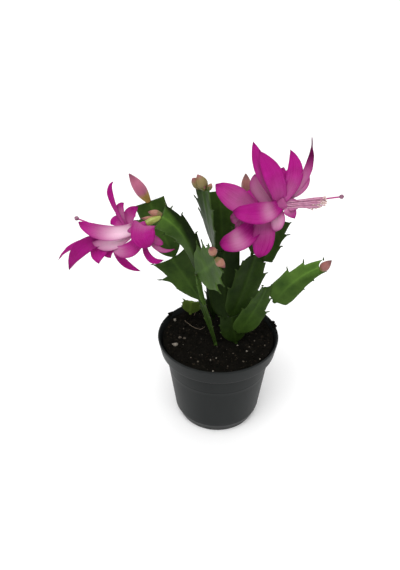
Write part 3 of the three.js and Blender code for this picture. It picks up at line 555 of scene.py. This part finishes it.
def pot_look():
    """Satin grey plastic: fine grain, faint flow streaks, dust under the rim and low down."""
    n = Nodes("pot_plastic")
    grain = n.noise(2200, 2)
    stretched = n.put("ShaderNodeMapping", {"Vector": n.place(), "Scale": (1, 1, 0.15)}).outputs[0]
    streaks = n.noise(30, 4, 0.6, stretched)
    dust = n.math("MULTIPLY", n.noise(75, 6, 0.7), n.value("dust"))
    base = n.ramp(streaks, [(0.3, (0.009, 0.0105, 0.0105)), (0.7, (0.0135, 0.0155, 0.0155))])
    base = n.mix(n.grey(dust, 0.0, 0.4, 0.3, 0.9), base, (0.05, 0.05, 0.048))
    n.set(Base_Color=base, Roughness=n.grey(streaks, 0.4, 0.52), Normal=n.bump(grain, 0.12, 0.0002))
    n.set(Specular_IOR_Level=0.12)
    return n.material


def soil_look():
    """Near-black peat, paler on a few crumbs."""
    n = Nodes("soil_peat")
    coarse, fine = n.noise(160, 6, 0.65), n.noise(1200, 4, 0.7)
    damp, peat, dry = (0.002, 0.0018, 0.0013), (0.005, 0.0044, 0.0032), (0.018, 0.014, 0.0095)
    base = n.ramp(coarse, [(0.3, damp), (0.62, peat), (0.85, dry)])
    base = n.mix(n.value("tone"), base, (0.06, 0.045, 0.03))
    n.set(Base_Color=base, Roughness=0.92, Normal=n.bump(fine, 0.7, 0.0006, n.bump(coarse, 0.6, 0.0012)))
    n.set(Specular_IOR_Level=0.04)
    return n.material


STEM = stem_look("stem_skin", (0.012, 0.028, 0.004), (0.03, 0.06, 0.009), (0.06, 0.1, 0.025))
YOUNG = stem_look("young_stem_skin", (0.05, 0.085, 0.012), (0.1, 0.15, 0.025), (0.14, 0.2, 0.05))
BRISTLE = plain_look("areole_bristle", (0.1, 0.07, 0.03), (0.2, 0.15, 0.08), 0.7)
PETAL = petal_look("petal_silk", (0.25, 0.003, 0.125), (0.41, 0.008, 0.24), (0.84, 0.56, 0.68))
LONG_BUD = bud_look("bud_long_skin", (0.33, 0.22, 0.03), (0.42, 0.12, 0.2), (0.2, 0.05, 0.09))
GREEN_BUD = bud_look("bud_green_skin", (0.11, 0.115, 0.027), (0.19, 0.145, 0.057), (0.26, 0.08, 0.095))
DUSKY_BUD = bud_look("bud_dusky_skin", (0.2, 0.15, 0.06), (0.25, 0.1, 0.09), (0.13, 0.05, 0.05))
SMALL_BUD = bud_look("bud_skin", (0.14, 0.11, 0.04), (0.3, 0.14, 0.1), (0.16, 0.04, 0.06))
OVARY = plain_look("ovary_skin", (0.2, 0.24, 0.04), (0.34, 0.38, 0.08), 0.38, 300, subsurface=0.15)
FILAMENT = plain_look("filament", (0.45, 0.16, 0.3), (0.64, 0.33, 0.46), 0.5, 500, subsurface=0.2)
POLLEN = plain_look("anther_pollen", (0.5, 0.34, 0.32), (0.7, 0.54, 0.5), 0.8, 1500, 0.5)
STYLE = plain_look("style_skin", (0.3, 0.01, 0.13), (0.45, 0.03, 0.24), 0.4)
STIGMA = plain_look("stigma_skin", (0.13, 0.04, 0.075), (0.32, 0.14, 0.22), 0.6, 700)
POT = pot_look()
SOIL = soil_look()
PERLITE = plain_look("perlite", (0.11, 0.095, 0.075), (0.3, 0.265, 0.22), 0.9, 900, 0.8, 0.0008)
GRIT = plain_look("grit", (0.035, 0.028, 0.02), (0.1, 0.078, 0.055), 0.85, 900, 0.8, 0.0008)
FIBRE = plain_look("root_fibre", (0.1, 0.07, 0.045), (0.22, 0.17, 0.12), 0.8)


# Stem segments


def joint_on(segment, shift, towards, radius):
    """Where a body of the given radius starts, clear of the tip of the segment that it grows on."""
    point, along, across, _ = segment["bow"].frame(segment["face"], 1)
    point = point + across * shift * segment["width"] / 2
    way = unit(vec(towards) - point)
    bend = math.acos(max(-1.0, min(1.0, float(along @ way))))
    return point + along * (CLEARANCE + radius * math.sin(min(bend, math.pi / 2)))


def outline_rows(segment):
    """Fine rows of the blade: share at the rib and at the edge, and reach to the left and to the right."""
    notch, lower, rounding = segment.get("notch", 1), segment.get("lower", 1), segment.get("round", 0)
    rib, edge, out, teeth = np.array(SEGMENT_ROWS, float).T
    edge[-1] = rib[-1] + (edge[-1] - rib[-1]) * segment.get("horn", 1)
    out[1:] **= 1 - rounding
    teeth = teeth * np.where(rib < LOWER_TEETH, notch * lower, notch)
    left, right = out + teeth, out + teeth * segment.get("right", 1)
    rows = []
    for first, last, count in zip((0, 6, 9), (5, 8, 11), ROW_COUNTS):
        knots = np.arange(first, last + 1)
        for at in np.linspace(first, last, count):
            part = slice(first, last + 1)
            rows.append([float(smoothed(knots, column[part], at)) for column in (rib, edge, left, right)])
    return rows


def bristles(shape, at, along, outwards, count, length):
    """A tuft of fine hairs at an areole."""
    for _ in range(count):
        way = unit(outwards * rng.uniform(0.5, 1.1) + along * rng.uniform(0.2, 1.0) + rng.normal(0, 0.3, 3))
        end = at + way * length * rng.uniform(0.6, 1.1)
        hair = Bow(at, (at + end) / 2 + rng.normal(0, 0.06, 3), end)
        shape.add_spindle(1, hair, [0.07, 0.05, 0.015], 4, 4, tone=0.0)


def spike(shape, at, along, outwards, length):
    """The fine point of a tooth, bent towards the tip of the segment."""
    end = at + unit(outwards + 1.1 * along) * length
    bow = Bow(at - outwards * 0.7, (at + end) / 2 + outwards * 0.2 * length, end)
    shape.add_spindle(0, bow, [0.5, 0.42, 0.26, 0.07], 8, 9, edge=1.0, tone=0.0)


def make_segment(segment):
    bow, face = segment["bow"], segment["face"]
    half, taper = segment["width"] / 2, segment.get("taper", 0)
    seed = float(rng.uniform(0, 50))
    columns = np.sin(np.linspace(-math.pi / 2, math.pi / 2, 25))
    rows = outline_rows(segment)
    root = 0.0 if segment.get("base") else -JOINT_SHARE
    upper, lower, rib_value, edge_value = [], [], [], []
    for i, (rib, edge, left, right) in enumerate(rows):
        tops, bottoms = [], []
        for u in columns:
            side = abs(u)
            share = rib + (edge - rib) * side * side
            if i == 0:
                share += root
            point, along, across, normal = bow.frame(face, share)
            reach = (right if u > 0 else left) * half * (1 + taper * (1 - 2 * share))
            lift = segment["fold"] * reach * (math.hypot(side, 0.12) - 0.12)
            flat = point + across * u * reach
            wobble = 0.35 * wave(flat, 9, seed) + 0.25 * wave(flat, 4, seed)
            lift += wobble * min(1.0, 2.5 * share) * (0.35 + 0.65 * side)
            thickness = LAMINA_THICKNESS + (EDGE_THICKNESS - LAMINA_THICKNESS) * side**2.5
            thickness += (RIB_THICKNESS - LAMINA_THICKNESS) * math.exp(-((u / 0.15) ** 2))
            thickness *= math.sqrt(max(0.0, 1 - side**14)) * 0.9 + 0.1
            thickness *= 1 - 0.5 * max(0.0, (share - 0.93) / 0.16)
            tops.append(flat + normal * (lift + thickness / 2))
            bottoms.append(flat + normal * (lift - thickness / 2))
            rib_value.append(math.exp(-((u / 0.1) ** 2)) * min(1.0, 3 * share))
            edge_value.append(side**6)
        upper.append(tops)
        lower.append(bottoms)
    shape = Shape()
    verts, faces = sheet(np.array(upper), np.array(lower))
    # Painted light and shade: each segment is lightened or darkened as a whole, shaded more on one side
    # than the other, and lit more towards its tip.
    tone, painted_side_shade, rise = segment["tone"]
    share = np.array([row[0] for row in rows])[:, None]
    lean = 0.8 * share**3 if rise else 0
    sides = painted_side_shade * np.clip(4 * (columns - lean), -1, 1) * (share if rise else 1)
    painted_light_and_shade = np.maximum(tone + rise * (2 * share - 1) - sides, DARKEST_PAINTED_SHADE)
    shape.add(verts, faces, 0, rib=rib_value * 2, edge=edge_value * 2, tone=np.tile(painted_light_and_shade.ravel(), 2))
    for row in TOOTH_ROWS:
        for column in (0, -1):
            at = (np.array(upper[row][column]) + np.array(lower[row][column])) / 2
            _, along, across, _ = bow.frame(face, min(rows[row][1], 1.0))
            outwards = across * (1 if column else -1)
            depth = segment.get("horn" if row == TOOTH_ROWS[2] else "notch", 1)
            depth *= segment.get("lower", 1) if row == TOOTH_ROWS[0] else 1
            depth *= segment.get("right", 1) if column else 1
            if depth > 0.25:
                spike(shape, at, along, outwards, TOOTH_POINT * depth)
            if rng.random() < 0.75:
                bristles(shape, at - along * 0.4, along, outwards, 3, 1.3)
    for u in (-0.55, 0.5):
        point, along, across, _ = bow.frame(face, 1.0)
        bristles(shape, point + across * u * half * 0.8 + along * 0.3, along, along, 3, 1.4)
    if segment.get("base"):
        foot = bow.point(0)
        stub = Bow(foot - vec((0, 0, 3)), foot, foot + vec((0, 0, 2.6)))
        shape.add_spindle(0, stub, [1.3, 1.3, 1.2, 0.5], 16, 8, rib=0.6, edge=0.0, tone=tone)
    young = segment.get("young", False)
    look, slot = (YOUNG, "young_stem") if young else (STEM, "stem")
    shape.make(segment["name"] + "_skin", [look, BRISTLE], [segment["name"]])


plant = {}
for entry in SEGMENTS:
    start = entry.get("base") or entry.get("start")
    if not start:
        start = joint_on(plant[entry["on"]], entry["shift"], entry["mid"], STALK_RADIUS)
    plant[entry["name"]] = dict(entry, bow=Bow(start, entry["mid"], entry["tip"]))
    make_segment(plant[entry["name"]])


# Buds


BUD_LOOKS = {
    "bud_long": LONG_BUD, "bud_right_back": DUSKY_BUD, "bud_right_side": DUSKY_BUD,
    "bud_top_left": GREEN_BUD, "bud_top_middle": GREEN_BUD,
}
BUD_POINT = {"bud_right_side": (1.1, 0.0, 1.5)}  # how far its fine point stands past the solid's tip


def make_bud(name, below, shift, tip, radius):
    start = joint_on(below, shift, tip, radius * BUD_PROFILE[0])
    start = start - unit(tip - start) * BUD_SEAT
    radii = [share * radius for share in BUD_PROFILE]
    bow = Bow(start, (start + tip) / 2, tip + vec(BUD_POINT.get(name, (0, 0, 0))))

    def scales(share, turn):
        """Overlapping scales: five long ribs that wind a little."""
        ridge = abs(math.sin(2.5 * turn + 2.2 * share))
        return 1.0 + 0.07 * (ridge - 0.6) * math.sin(math.pi * min(1.0, share * 1.1))

    verts, faces, shares = spindle(bow, radii, 40, 36, scales)
    shape = Shape()
    shape.add(verts, faces, 0, along=shares)
    shape.make(name + "_skin", [BUD_LOOKS.get(name, SMALL_BUD)], [name])


for name, stem, number, shift, tip, radius in BUDS:
    make_bud(name, plant[segment_name(stem, number)], shift, vec(tip), radius)


# Blooms


# How pale each petal is, where along it, over what spread, and how dusky it is: in the order of the petals.
# The pale patch is partly a white petal base and partly a painted highlight; the dusk is painted shade.
PALE_AND_PAINTED_LIGHT_PARTS = {
    "bloom_left": [
        (1.0, 0.2, 0.34, 0.0), (0.0, 0.0, 0.25, 0.55), (0.1, 0.0, 0.3, 0.3), (0.4, 0.0, 0.25, 0.05),
        (0.5, 0.1, 0.25, 0.05), (0.2, 0.0, 0.3, 0.1), (0.35, 1.0, 0.35, 0.1), (0.15, 0.0, 0.3, 0.15),
        (0.15, 0.0, 0.3, 0.15), (0.75, 0.4, 0.5, 0.0), (0.25, 0.5, 0.5, 0.3), (0.15, 0.5, 0.5, 0.25),
        (0.1, 0.0, 0.3, 0.15), (0.25, 0.4, 0.3, 0.2), (0.15, 0.2, 0.4, 0.2), (0.1, 0.2, 0.3, 0.15),
    ],
    "bloom_right": [
        (0.2, 0.1, 0.4, 0.0), (0.08, 0.1, 0.3, 0.0), (0.1, 0.1, 0.4, 0.1), (0.15, 0.1, 0.35, 0.0),
        (0.35, 0.25, 0.35, 0.05), (0.5, 0.2, 0.6, 0.2), (0.4, 0.4, 0.5, 0.35), (0.15, 0.4, 0.35, 0.05),
        (0.3, 0.34, 0.15, 0.12),
        (0.32, 0.62, 0.16, 0.28), (0.15, 0.2, 0.4, 0.2), (0.35, 0.4, 0.4, 0.2), (0.5, 0.6, 0.4, 0.1),
        (0.4, 0.5, 0.6, 0.25), (0.3, 0.5, 0.5, 0.4), (0.3, 0.5, 0.5, 0.35), (0.3, 0.5, 0.5, 0.4),
        (0.2, 0.1, 0.4, 0.0), (0.1, 0.1, 0.4, 0.1),
    ],
}


def petal_root(tube, at, mid):
    share = at * PETAL_BEARING
    point, along, _, _ = tube.frame((0, 0, 1), share)
    side = vec(mid) - point
    side = unit(side - along * (side @ along))
    return point + side * TUBE_RADII[int(math.floor(share * (len(TUBE_RADII) - 1) + 0.5))] * PETAL_SEAT


def add_petal(shape, tube, petal, pale_and_painted_light, seed):
    at, mid, tip, width, face, blunt, foot = petal
    bow = Bow(petal_root(tube, at, mid), mid, tip)
    knots = [along for along, _ in PETAL_ROWS]
    outs = []
    for along, out in PETAL_ROWS:
        outer = along > POINT_START
        shaped = out ** (1 - blunt) if blunt > 0 or outer else out
        outs.append(shaped if outer else shaped + (1 - shaped) * foot)
    columns = np.linspace(-1, 1, 17)
    shares = np.concatenate([np.linspace(0, 0.9, 26), np.linspace(0.92, 1, 7)])
    pale, centre, spread, painted_dusk_shade = pale_and_painted_light
    upper, lower, along_value, side_value, white, dark = [], [], [], [], [], []
    for share in shares:
        out = float(smoothed(knots, outs, share))
        if share > 0.9:
            out *= math.sqrt(1 - 0.9 * ((share - 0.9) / 0.1) ** 2)
        point, along, across, normal = bow.frame(face, share)
        tops, bottoms = [], []
        if blunt < 0:
            point_dark, point_width = min(1.3, max(0.0, (share - 0.6) / 0.15)), POINT_WIDTH * LONG_POINT
        else:
            point_dark, point_width = max(0.0, (share - 0.85) / 0.15) ** 2, POINT_WIDTH
        reach = max(out * width / 2, point_width / 2 * math.sqrt(max(0.02, 1 - share**30)))
        for u in columns:
            cup = PETAL_CUP * reach * (math.hypot(u, 0.18) - 0.18)
            ripple = 0.45 * abs(u) ** 2 * wave(point + across * u * reach, 3.5, seed) * min(1.0, 4 * share)
            ripple += 0.5 * wave(point, 9, seed + 3) * u * min(1.0, 2 * share)
            place = point + across * u * reach + normal * (cup + ripple)
            thin = PETAL_SHEET * (1 - 0.55 * abs(u) ** 3) * (1 - 0.4 * share)
            tops.append(place + normal * thin / 2)
            bottoms.append(place - normal * thin / 2)
            along_value.append(share)
            side_value.append(u)
            # The pale patch is partly the petal's white base and partly a painted highlight; dusk adds
            # painted shade to the dark value.
            near = math.exp(-(((share - centre) / spread) ** 2))
            white.append(pale * near * (1 - 0.6 * abs(u) ** 2.5))
            dark.append(point_dark + 0.35 * abs(u) ** 8 + painted_dusk_shade)
        upper.append(tops)
        lower.append(bottoms)
    verts, faces = sheet(np.array(upper), np.array(lower))
    values = dict(along=along_value * 2, side=side_value * 2, white=white * 2, dark=dark * 2)
    shape.add(verts, faces, 0, tone=seed, **values)


def add_tube(shape, tube):
    """The floral tube: a thin wall, flared at its open mouth."""
    sides, count = 32, 26
    outer, inner, shares = [], [], []
    knots = np.linspace(0, 1, len(TUBE_RADII))
    for share in np.linspace(0, 1, count):
        point, _, across, normal = tube.frame((0.13, 0.98, 0.15), share)
        radius = float(smoothed(knots, TUBE_RADII, share))
        for rows, reach in ((outer, radius), (inner, max(0.3, radius - TUBE_SHEET))):
            ring = []
            for k in range(sides):
                turn = 2 * math.pi * k / sides
                flute = 1 + 0.015 * math.cos(10 * turn) * share
                ring.append(point + (across * math.cos(turn) + normal * math.sin(turn)) * reach * flute)
            rows.append(ring)
        shares.append(share)
    rings = outer + inner[::-1][: count // 2]
    verts, faces = rounds((tube.point(0), tube.point(0.52)), rings)
    share_of = [s for s in shares + shares[::-1][: count // 2] for _ in range(sides)] + [0, 0.5]
    white = [0.05 + 0.12 * s for s in share_of]
    shape.add(verts, faces, 0, along=share_of, side=0.0, white=white, dark=0.3, tone=0.0)


def make_bloom(bloom, seed):
    name = bloom["name"]
    ovary_top, mouth = vec(bloom["ovary"]), vec(bloom["mouth"])
    start = joint_on(plant[bloom["on"]], bloom["shift"], ovary_top, OVARY_RADII[0])
    start = start - unit(ovary_top - start) * OVARY_SEAT
    stalk = Bow(start, (start + ovary_top) / 2, ovary_top)
    shape = Shape()
    shape.add_spindle(0, stalk, OVARY_RADII, 40, 24, lambda share, turn: 1 + 0.04 * math.cos(5 * turn))
    shape.make(name + "_ovary_skin", [OVARY], [name + "_ovary"])

    tube = Bow(ovary_top, bloom["bend"], mouth)
    shape = Shape()
    add_tube(shape, tube)
    for k, petal in enumerate(bloom["petals"]):
        add_petal(shape, tube, petal, PALE_AND_PAINTED_LIGHT_PARTS[name][k], seed + 1.3 * k)
    shape.make(name + "_petals_silk", [PETAL], [name + "_petals"])

    inside = tube.point(0.8)
    tip = vec(bloom["stamens"])
    axis = Bow(inside, (inside + tip) / 2, tip)
    shape = Shape()
    count = STAMEN_SHARE * bloom["filaments"]
    for k in range(count):
        turn = math.radians(STAMEN["arc"] * (k / (count - 1) - 0.5) + 90 + rng.uniform(-8, 8))
        reach = STAMEN["shortest"] + (1 - STAMEN["shortest"]) * ((k * 0.618) % 1)
        sag = rng.uniform(0, 1.2) + STAMEN["sag"] * (1 - reach)
        way = []
        for step in (0, 0.25, 0.5, 0.75, 1):
            point, _, across, normal = axis.frame((0, 0, 1), step * reach)
            ring = STAMEN["ring"] * (0.35 + 0.27 * (k % 5)) * (1 - 0.45 * step)
            radius = ring + STAMEN["spread"] * step * step * rng.uniform(0.5, 1.1)
            way.append(point + across * radius * math.cos(turn) + normal * radius * math.sin(turn))
            way[-1][2] -= sag * step * step
        way = np.array(way)
        line = through(way, 14)
        ways = np.gradient(line, axis=0)
        verts, faces = strand(line, ways, FILAMENT_RADIUS, (0.1, 0.97, 0.2))
        shape.add(verts, faces, 0)
        end = line[-1]
        lean = unit(rng.normal(0, 1, 3) + unit(ways[-1]))
        anther = Bow(end - lean * ANTHER * 1.3, end, end + lean * ANTHER * 1.3)
        shape.add_spindle(1, anther, [0.15, ANTHER * 0.9, ANTHER, ANTHER * 0.8, 0.15], 10, 8)
    shape.make(name + "_stamens_fine", [FILAMENT, POLLEN], [name + "_stamens"])

    end = vec(bloom["style"])
    way = unit(end - mouth)
    rod = Bow(inside, (inside + end) / 2 + vec((0, 0, 0.35)), end)
    shape = Shape()
    shape.add_spindle(0, rod, [STYLE_RADIUS] * 3, 12, 24)
    knob = Bow(end - way * STIGMA_RADIUS, end, end + way * STIGMA_RADIUS)
    lobes = lambda share, turn: 1 - 0.16 * (0.5 + 0.5 * math.cos(6 * turn)) * share
    shape.add_spindle(1, knob, [0.45, 1.15, 1.4, 1.2, 0.35], 36, 14, lobes)
    shape.make(name + "_style_fine", [STYLE, STIGMA], [name + "_style"])


for number, entry in enumerate(BLOOMS):
    make_bloom(entry, 5.0 + 20 * number)


# Pot


def make_pot():
    band = POT_HEIGHT - BAND_HEIGHT
    profile = [
        (0, 0), *CHANNEL, (FOOT_RADIUS - 0.3, 0), (FOOT_RADIUS + 0.1, 0.15),
        (FOOT_RADIUS + 0.5, 1), (HEEL_RADIUS - 0.5, HEEL_HEIGHT - 0.9),
        (HEEL_RADIUS - 0.08, HEEL_HEIGHT - 0.3), (HEEL_RADIUS + 0.1, HEEL_HEIGHT + 0.5),
    ]
    shoulder = band - SHOULDER_HEIGHT
    slope = (WALL_RADIUS - HEEL_RADIUS) / (shoulder - HEEL_HEIGHT)
    wall = lambda z: HEEL_RADIUS + slope * (z - HEEL_HEIGHT)
    profile += [(wall(z), z) for z in np.linspace(11, MOULD_LINE - 0.6, 12)]
    profile += [(wall(MOULD_LINE) + 0.03, MOULD_LINE - 0.3), (wall(MOULD_LINE) + 0.03, MOULD_LINE)]
    profile += [(wall(MOULD_LINE) + 0.02, MOULD_LINE + 0.3)]
    profile += [(wall(z), z) for z in np.linspace(MOULD_LINE + 1, shoulder - 0.5, 6)]
    profile += [
        (WALL_RADIUS + 0.1, shoulder - 0.1), (WALL_RADIUS + 0.9, shoulder + 0.4),
        (BAND_RADIUS - 0.5, band - 0.35), (BAND_RADIUS - 0.05, band + 0.1), (BAND_RADIUS + 0.1, band + 0.7),
        (RIM_RADIUS - 0.12, POT_HEIGHT - 1.4), (RIM_RADIUS - 0.02, POT_HEIGHT - 0.7),
        (RIM_RADIUS - 0.2, POT_HEIGHT - 0.2), (RIM_RADIUS - 0.6, POT_HEIGHT),
        (RIM_RADIUS - 1.1, POT_HEIGHT - 0.1),
        (RIM_RADIUS - POT_WALL, POT_HEIGHT - 0.5), (BAND_RADIUS - POT_WALL, band + 1),
        (WALL_RADIUS - POT_WALL, shoulder + 1), (HEEL_RADIUS - POT_WALL, HEEL_HEIGHT + 1),
        (FOOT_RADIUS - POT_WALL, POT_FLOOR), (0, POT_FLOOR),
    ]
    rings = [[(x, y, z) for x, y in circle(radius, 144)] for radius, z in profile[1:-1]]
    verts, faces = rounds(((0, 0, 0), (0, 0, POT_FLOOR)), rings)
    faces = [face[::-1] for face in faces]
    shape = Shape()
    heights = verts[:, 2]
    dust = np.clip(1.2 - heights / 18, 0, 1) + np.clip((heights - 58) / 10, 0, 1) * 0.6
    shape.add(verts, faces, 0, dust=dust)
    pot = shape.make("pot_shell", [POT], ["pot"])
    mesh = bmesh.new()
    scale = Matrix.Scale(MM, 4)
    size = Matrix.Diagonal((RECESSES["depth"], RECESSES["width"], RECESSES["high"] - RECESSES["low"], 1))
    seat = Matrix.Translation((HEEL_RADIUS, 0, (RECESSES["low"] + RECESSES["high"]) / 2))
    for angle in RECESSES["angles"]:
        place = Matrix.Rotation(math.radians(angle), 4, "Z") @ seat
        bmesh.ops.create_cube(mesh, size=1, matrix=scale @ place @ size)
    hole, ring, count = DRAIN_HOLES["radius"], DRAIN_HOLES["ring"], DRAIN_HOLES["count"]
    for k in range(count):
        turn = 2 * math.pi * (k + 0.5) / count
        place = scale @ Matrix.Translation((ring * math.cos(turn), ring * math.sin(turn), 0))
        sizes = dict(segments=32, radius1=hole, radius2=hole, depth=8)
        bmesh.ops.create_cone(mesh, cap_ends=True, matrix=place, **sizes)
    cutter_mesh = bpy.data.meshes.new("pot_cuts")
    mesh.to_mesh(cutter_mesh)
    mesh.free()
    cutter = linked("pot_cuts", cutter_mesh)
    cut = pot.modifiers.new("cuts", "BOOLEAN")
    cut.operation, cut.solver, cut.object = "DIFFERENCE", "EXACT", cutter
    bpy.context.view_layer.update()
    evaluated = pot.evaluated_get(bpy.context.evaluated_depsgraph_get())
    result = bpy.data.meshes.new_from_object(evaluated)
    pot.modifiers.clear()
    pot.data = result
    bpy.data.objects.remove(cutter)
    for polygon in pot.data.polygons:
        polygon.use_smooth = True
    pot.data.set_sharp_from_angle(angle=math.radians(38))


make_pot()


# Soil


def soil_height(x, y):
    """Height of the soil's surface: low clods."""
    broad = math.sin(0.31 * x + 1.2) * math.cos(0.27 * y - 0.6)
    fine = math.sin(0.83 * x - 0.9 * y + 0.4) * math.cos(0.71 * x + 0.67 * y)
    height = SOIL_LEVEL + 1.0 * (0.6 * broad + 0.4 * fine)
    place = (x, y, 0)
    height += 0.55 * wave(place, 3.0, 2) + 0.4 * wave(place, 1.3, 5) + 0.22 * wave(place, 0.6, 9)
    return height


def make_soil():
    rings, sides = 110, 300
    verts, faces = [], []
    for i in range(rings + 1):
        radius = (SOIL_RADIUS + 0.35) * (i / rings) ** 0.8
        verts += [(x, y, soil_height(x, y)) for x, y in circle(radius, sides)]
    for radius, height in SOIL_PLUG:
        verts += [(x, y, height) for x, y in circle(radius, sides)]
    for i in range(rings + len(SOIL_PLUG)):
        faces += ring_faces(i * sides, (i + 1) * sides, sides)
    faces.append([len(verts) - 1 - k for k in range(sides)])
    shape = Shape()
    shape.add(verts, faces, 0, tone=0.0)
    shape.make("soil_body", [SOIL], ["soil"])


def lump(shape, place, size, look, tone, detail=1):
    """A rough pebble-like crumb."""
    ball = LUMPS[detail]
    stretch = rng.uniform(0.7, 1.25, 3) * (1, 1, 0.75)
    spin = np.linalg.qr(rng.normal(0, 1, (3, 3)))[0]
    if np.linalg.det(spin) < 0:
        spin[:, 0] *= -1
    rough = 1 + rng.normal(0, 0.16, len(ball[0]))[:, None]
    verts = (ball[0] * rough) @ spin.T * stretch * size / 2 + vec(place)
    shape.add(verts, ball[1], look, tone=tone)


def ball(detail):
    mesh = bmesh.new()
    bmesh.ops.create_icosphere(mesh, subdivisions=detail, radius=1)
    verts = np.array([v.co[:] for v in mesh.verts])
    faces = [[v.index for v in f.verts] for f in mesh.faces]
    mesh.free()
    return verts, faces


LUMPS = {1: ball(1), 2: ball(2)}
# Pieces on the soil: across, away from the viewer, size, and 0 for perlite or 1 for grit.
GRAINS = [
    (-33, 19, 3.0, 0), (-31.5, -11.5, 3.8, 0), (-28.5, -2.5, 2.2, 1), (-25, -4, 2.2, 1),
    (-6.3, -28, 1.4, 0), (-15, -30, 1.3, 1), (-2, -26, 1.3, 0), (2.3, -3.2, 1.3, 1), (27, -6.5, 1.5, 1),
    (22.5, -13.5, 1.7, 1), (20.3, -19.5, 1.4, 0), (10.5, -20.5, 1.2, 1), (17.2, -29.5, 1.4, 1),
    (29, -27.5, 1.2, 0), (-4.5, -40, 1.1, 0), (-12, -22, 1.0, 1), (6, -34, 1.0, 1), (34, -12, 1.1, 1),
    (14, -12, 1.0, 0), (-20, -26, 1.0, 1), (-8, 22, 1.3, 1), (12, 30, 1.6, 0), (26, 22, 1.4, 1),
    (-26, 8, 1.2, 1),
]


def make_crumbs():
    shape = Shape()
    for _ in range(CRUMBS):
        radius = SOIL_RADIUS * math.sqrt(rng.random()) * 0.99
        turn = rng.uniform(0, 2 * math.pi)
        x, y = radius * math.cos(turn), radius * math.sin(turn)
        size = 0.5 + 1.7 * rng.random() ** 2.5
        place = (x, y, soil_height(x, y) + size * 0.12)
        lump(shape, place, size, 0, max(0.0, rng.normal(0.02, 0.12)))
    # Clods on the rim, at the back left and at the right.
    for middle, spread, count in ((146, 7, 16), (14, 11, 26), (60, 30, 8)):
        for _ in range(count):
            turn = math.radians(rng.normal(middle, spread / 2))
            radius = RIM_RADIUS - rng.uniform(0.0, 2.4)
            size = rng.uniform(0.8, 2.6)
            place = (radius * math.cos(turn), radius * math.sin(turn), POT_HEIGHT - 0.2 + size * 0.22)
            lump(shape, place, size, 0, 0.0)
    shape.make("soil_crumbs", [SOIL], smooth=False)
    shape = Shape()
    for x, y, size, kind in GRAINS:
        lump(shape, (x, y, soil_height(x, y) + size * 0.2), size, kind, 0.0, 2)
    for _ in range(FINE_GRAINS):
        radius, turn = SOIL_RADIUS * math.sqrt(rng.random()), rng.uniform(0, 2 * math.pi)
        x, y = radius * math.cos(turn), radius * math.sin(turn)
        size, kind = rng.uniform(0.3, 0.65), int(rng.random() < 0.85)
        lump(shape, (x, y, soil_height(x, y) + 0.1), size, kind, 0.0)
    shape.make("soil_grit", [PERLITE, GRIT])


def make_fibres():
    """Dry root fibres that lie on the soil, one of them arched."""
    shape = Shape()
    ways = [
        [(-25.6, 18.3, 0.4), (-19.6, 10.5, 0.8), (-13.5, 6.7, 0.9), (-9.7, 9.6, 0.4)],
        [(-18.2, 24.8, 0.2), (-15, 31, 2.4), (-12, 33, 2.6), (-7.7, 25.2, 0.3)],
    ]
    for way in ways:
        points = np.array([(x, y, soil_height(x, y) + 0.25 + rise) for x, y, rise in way])
        line = through(points, 26)
        line += rng.normal(0, 0.07, line.shape)
        verts, faces = strand(line, np.gradient(line, axis=0), FIBRE_RADIUS, (0.1, 0.2, 1))
        shape.add(verts, faces)
    shape.make("soil_fibres", [FIBRE])


make_soil()
make_crumbs()
make_fibres()


# Floor, light and camera


def make_stage():
    mesh = bpy.data.meshes.new("floor")
    corners = [(FLOOR_REACH * x, FLOOR_REACH * y, 0) for x, y in ((-1, -1), (1, -1), (1, 1), (-1, 1))]
    mesh.from_pydata(corners, [], [(0, 1, 2, 3)])
    floor = linked("floor", mesh)
    n = Nodes("floor_white")
    n.set(Base_Color=(0.93, 0.93, 0.93, 1), Roughness=0.9)
    floor.data.materials.append(n.material)

    world = bpy.data.worlds.new("studio")
    bpy.context.scene.world = world
    world.use_nodes = True
    background = world.node_tree.nodes["Background"]
    background.inputs["Color"].default_value = (1, 1, 1, 1)
    background.inputs["Strength"].default_value = 0.45

    def sun(name, azimuth, elevation, strength, softness):
        light = bpy.data.lights.new(name, "SUN")
        light.energy, light.angle = strength, math.radians(softness)
        lamp = linked(name, light)
        a, e = math.radians(azimuth), math.radians(elevation)
        way = Vector((math.cos(e) * math.cos(a), math.cos(e) * math.sin(a), math.sin(e)))
        lamp.location = way
        lamp.rotation_euler = way.to_track_quat("Z", "Y").to_euler()

    sun("key", -108, 57, 2.15, 50)
    sun("overhead", 60, 80, 1.1, 90)

    camera = bpy.data.cameras.new("camera")
    camera.sensor_width = 36
    camera.lens = FOCAL_PIXELS * camera.sensor_width / PHOTO_HEIGHT
    camera.clip_start, camera.clip_end = 0.02, 20
    eye = linked("camera", camera)
    eye.location = CAMERA_PLACE
    eye.rotation_euler = (math.radians(90 - LOOKS_DOWN), 0, 0)
    bpy.context.scene.camera = eye
    bpy.context.scene.view_settings.view_transform = "Standard"


make_stage()
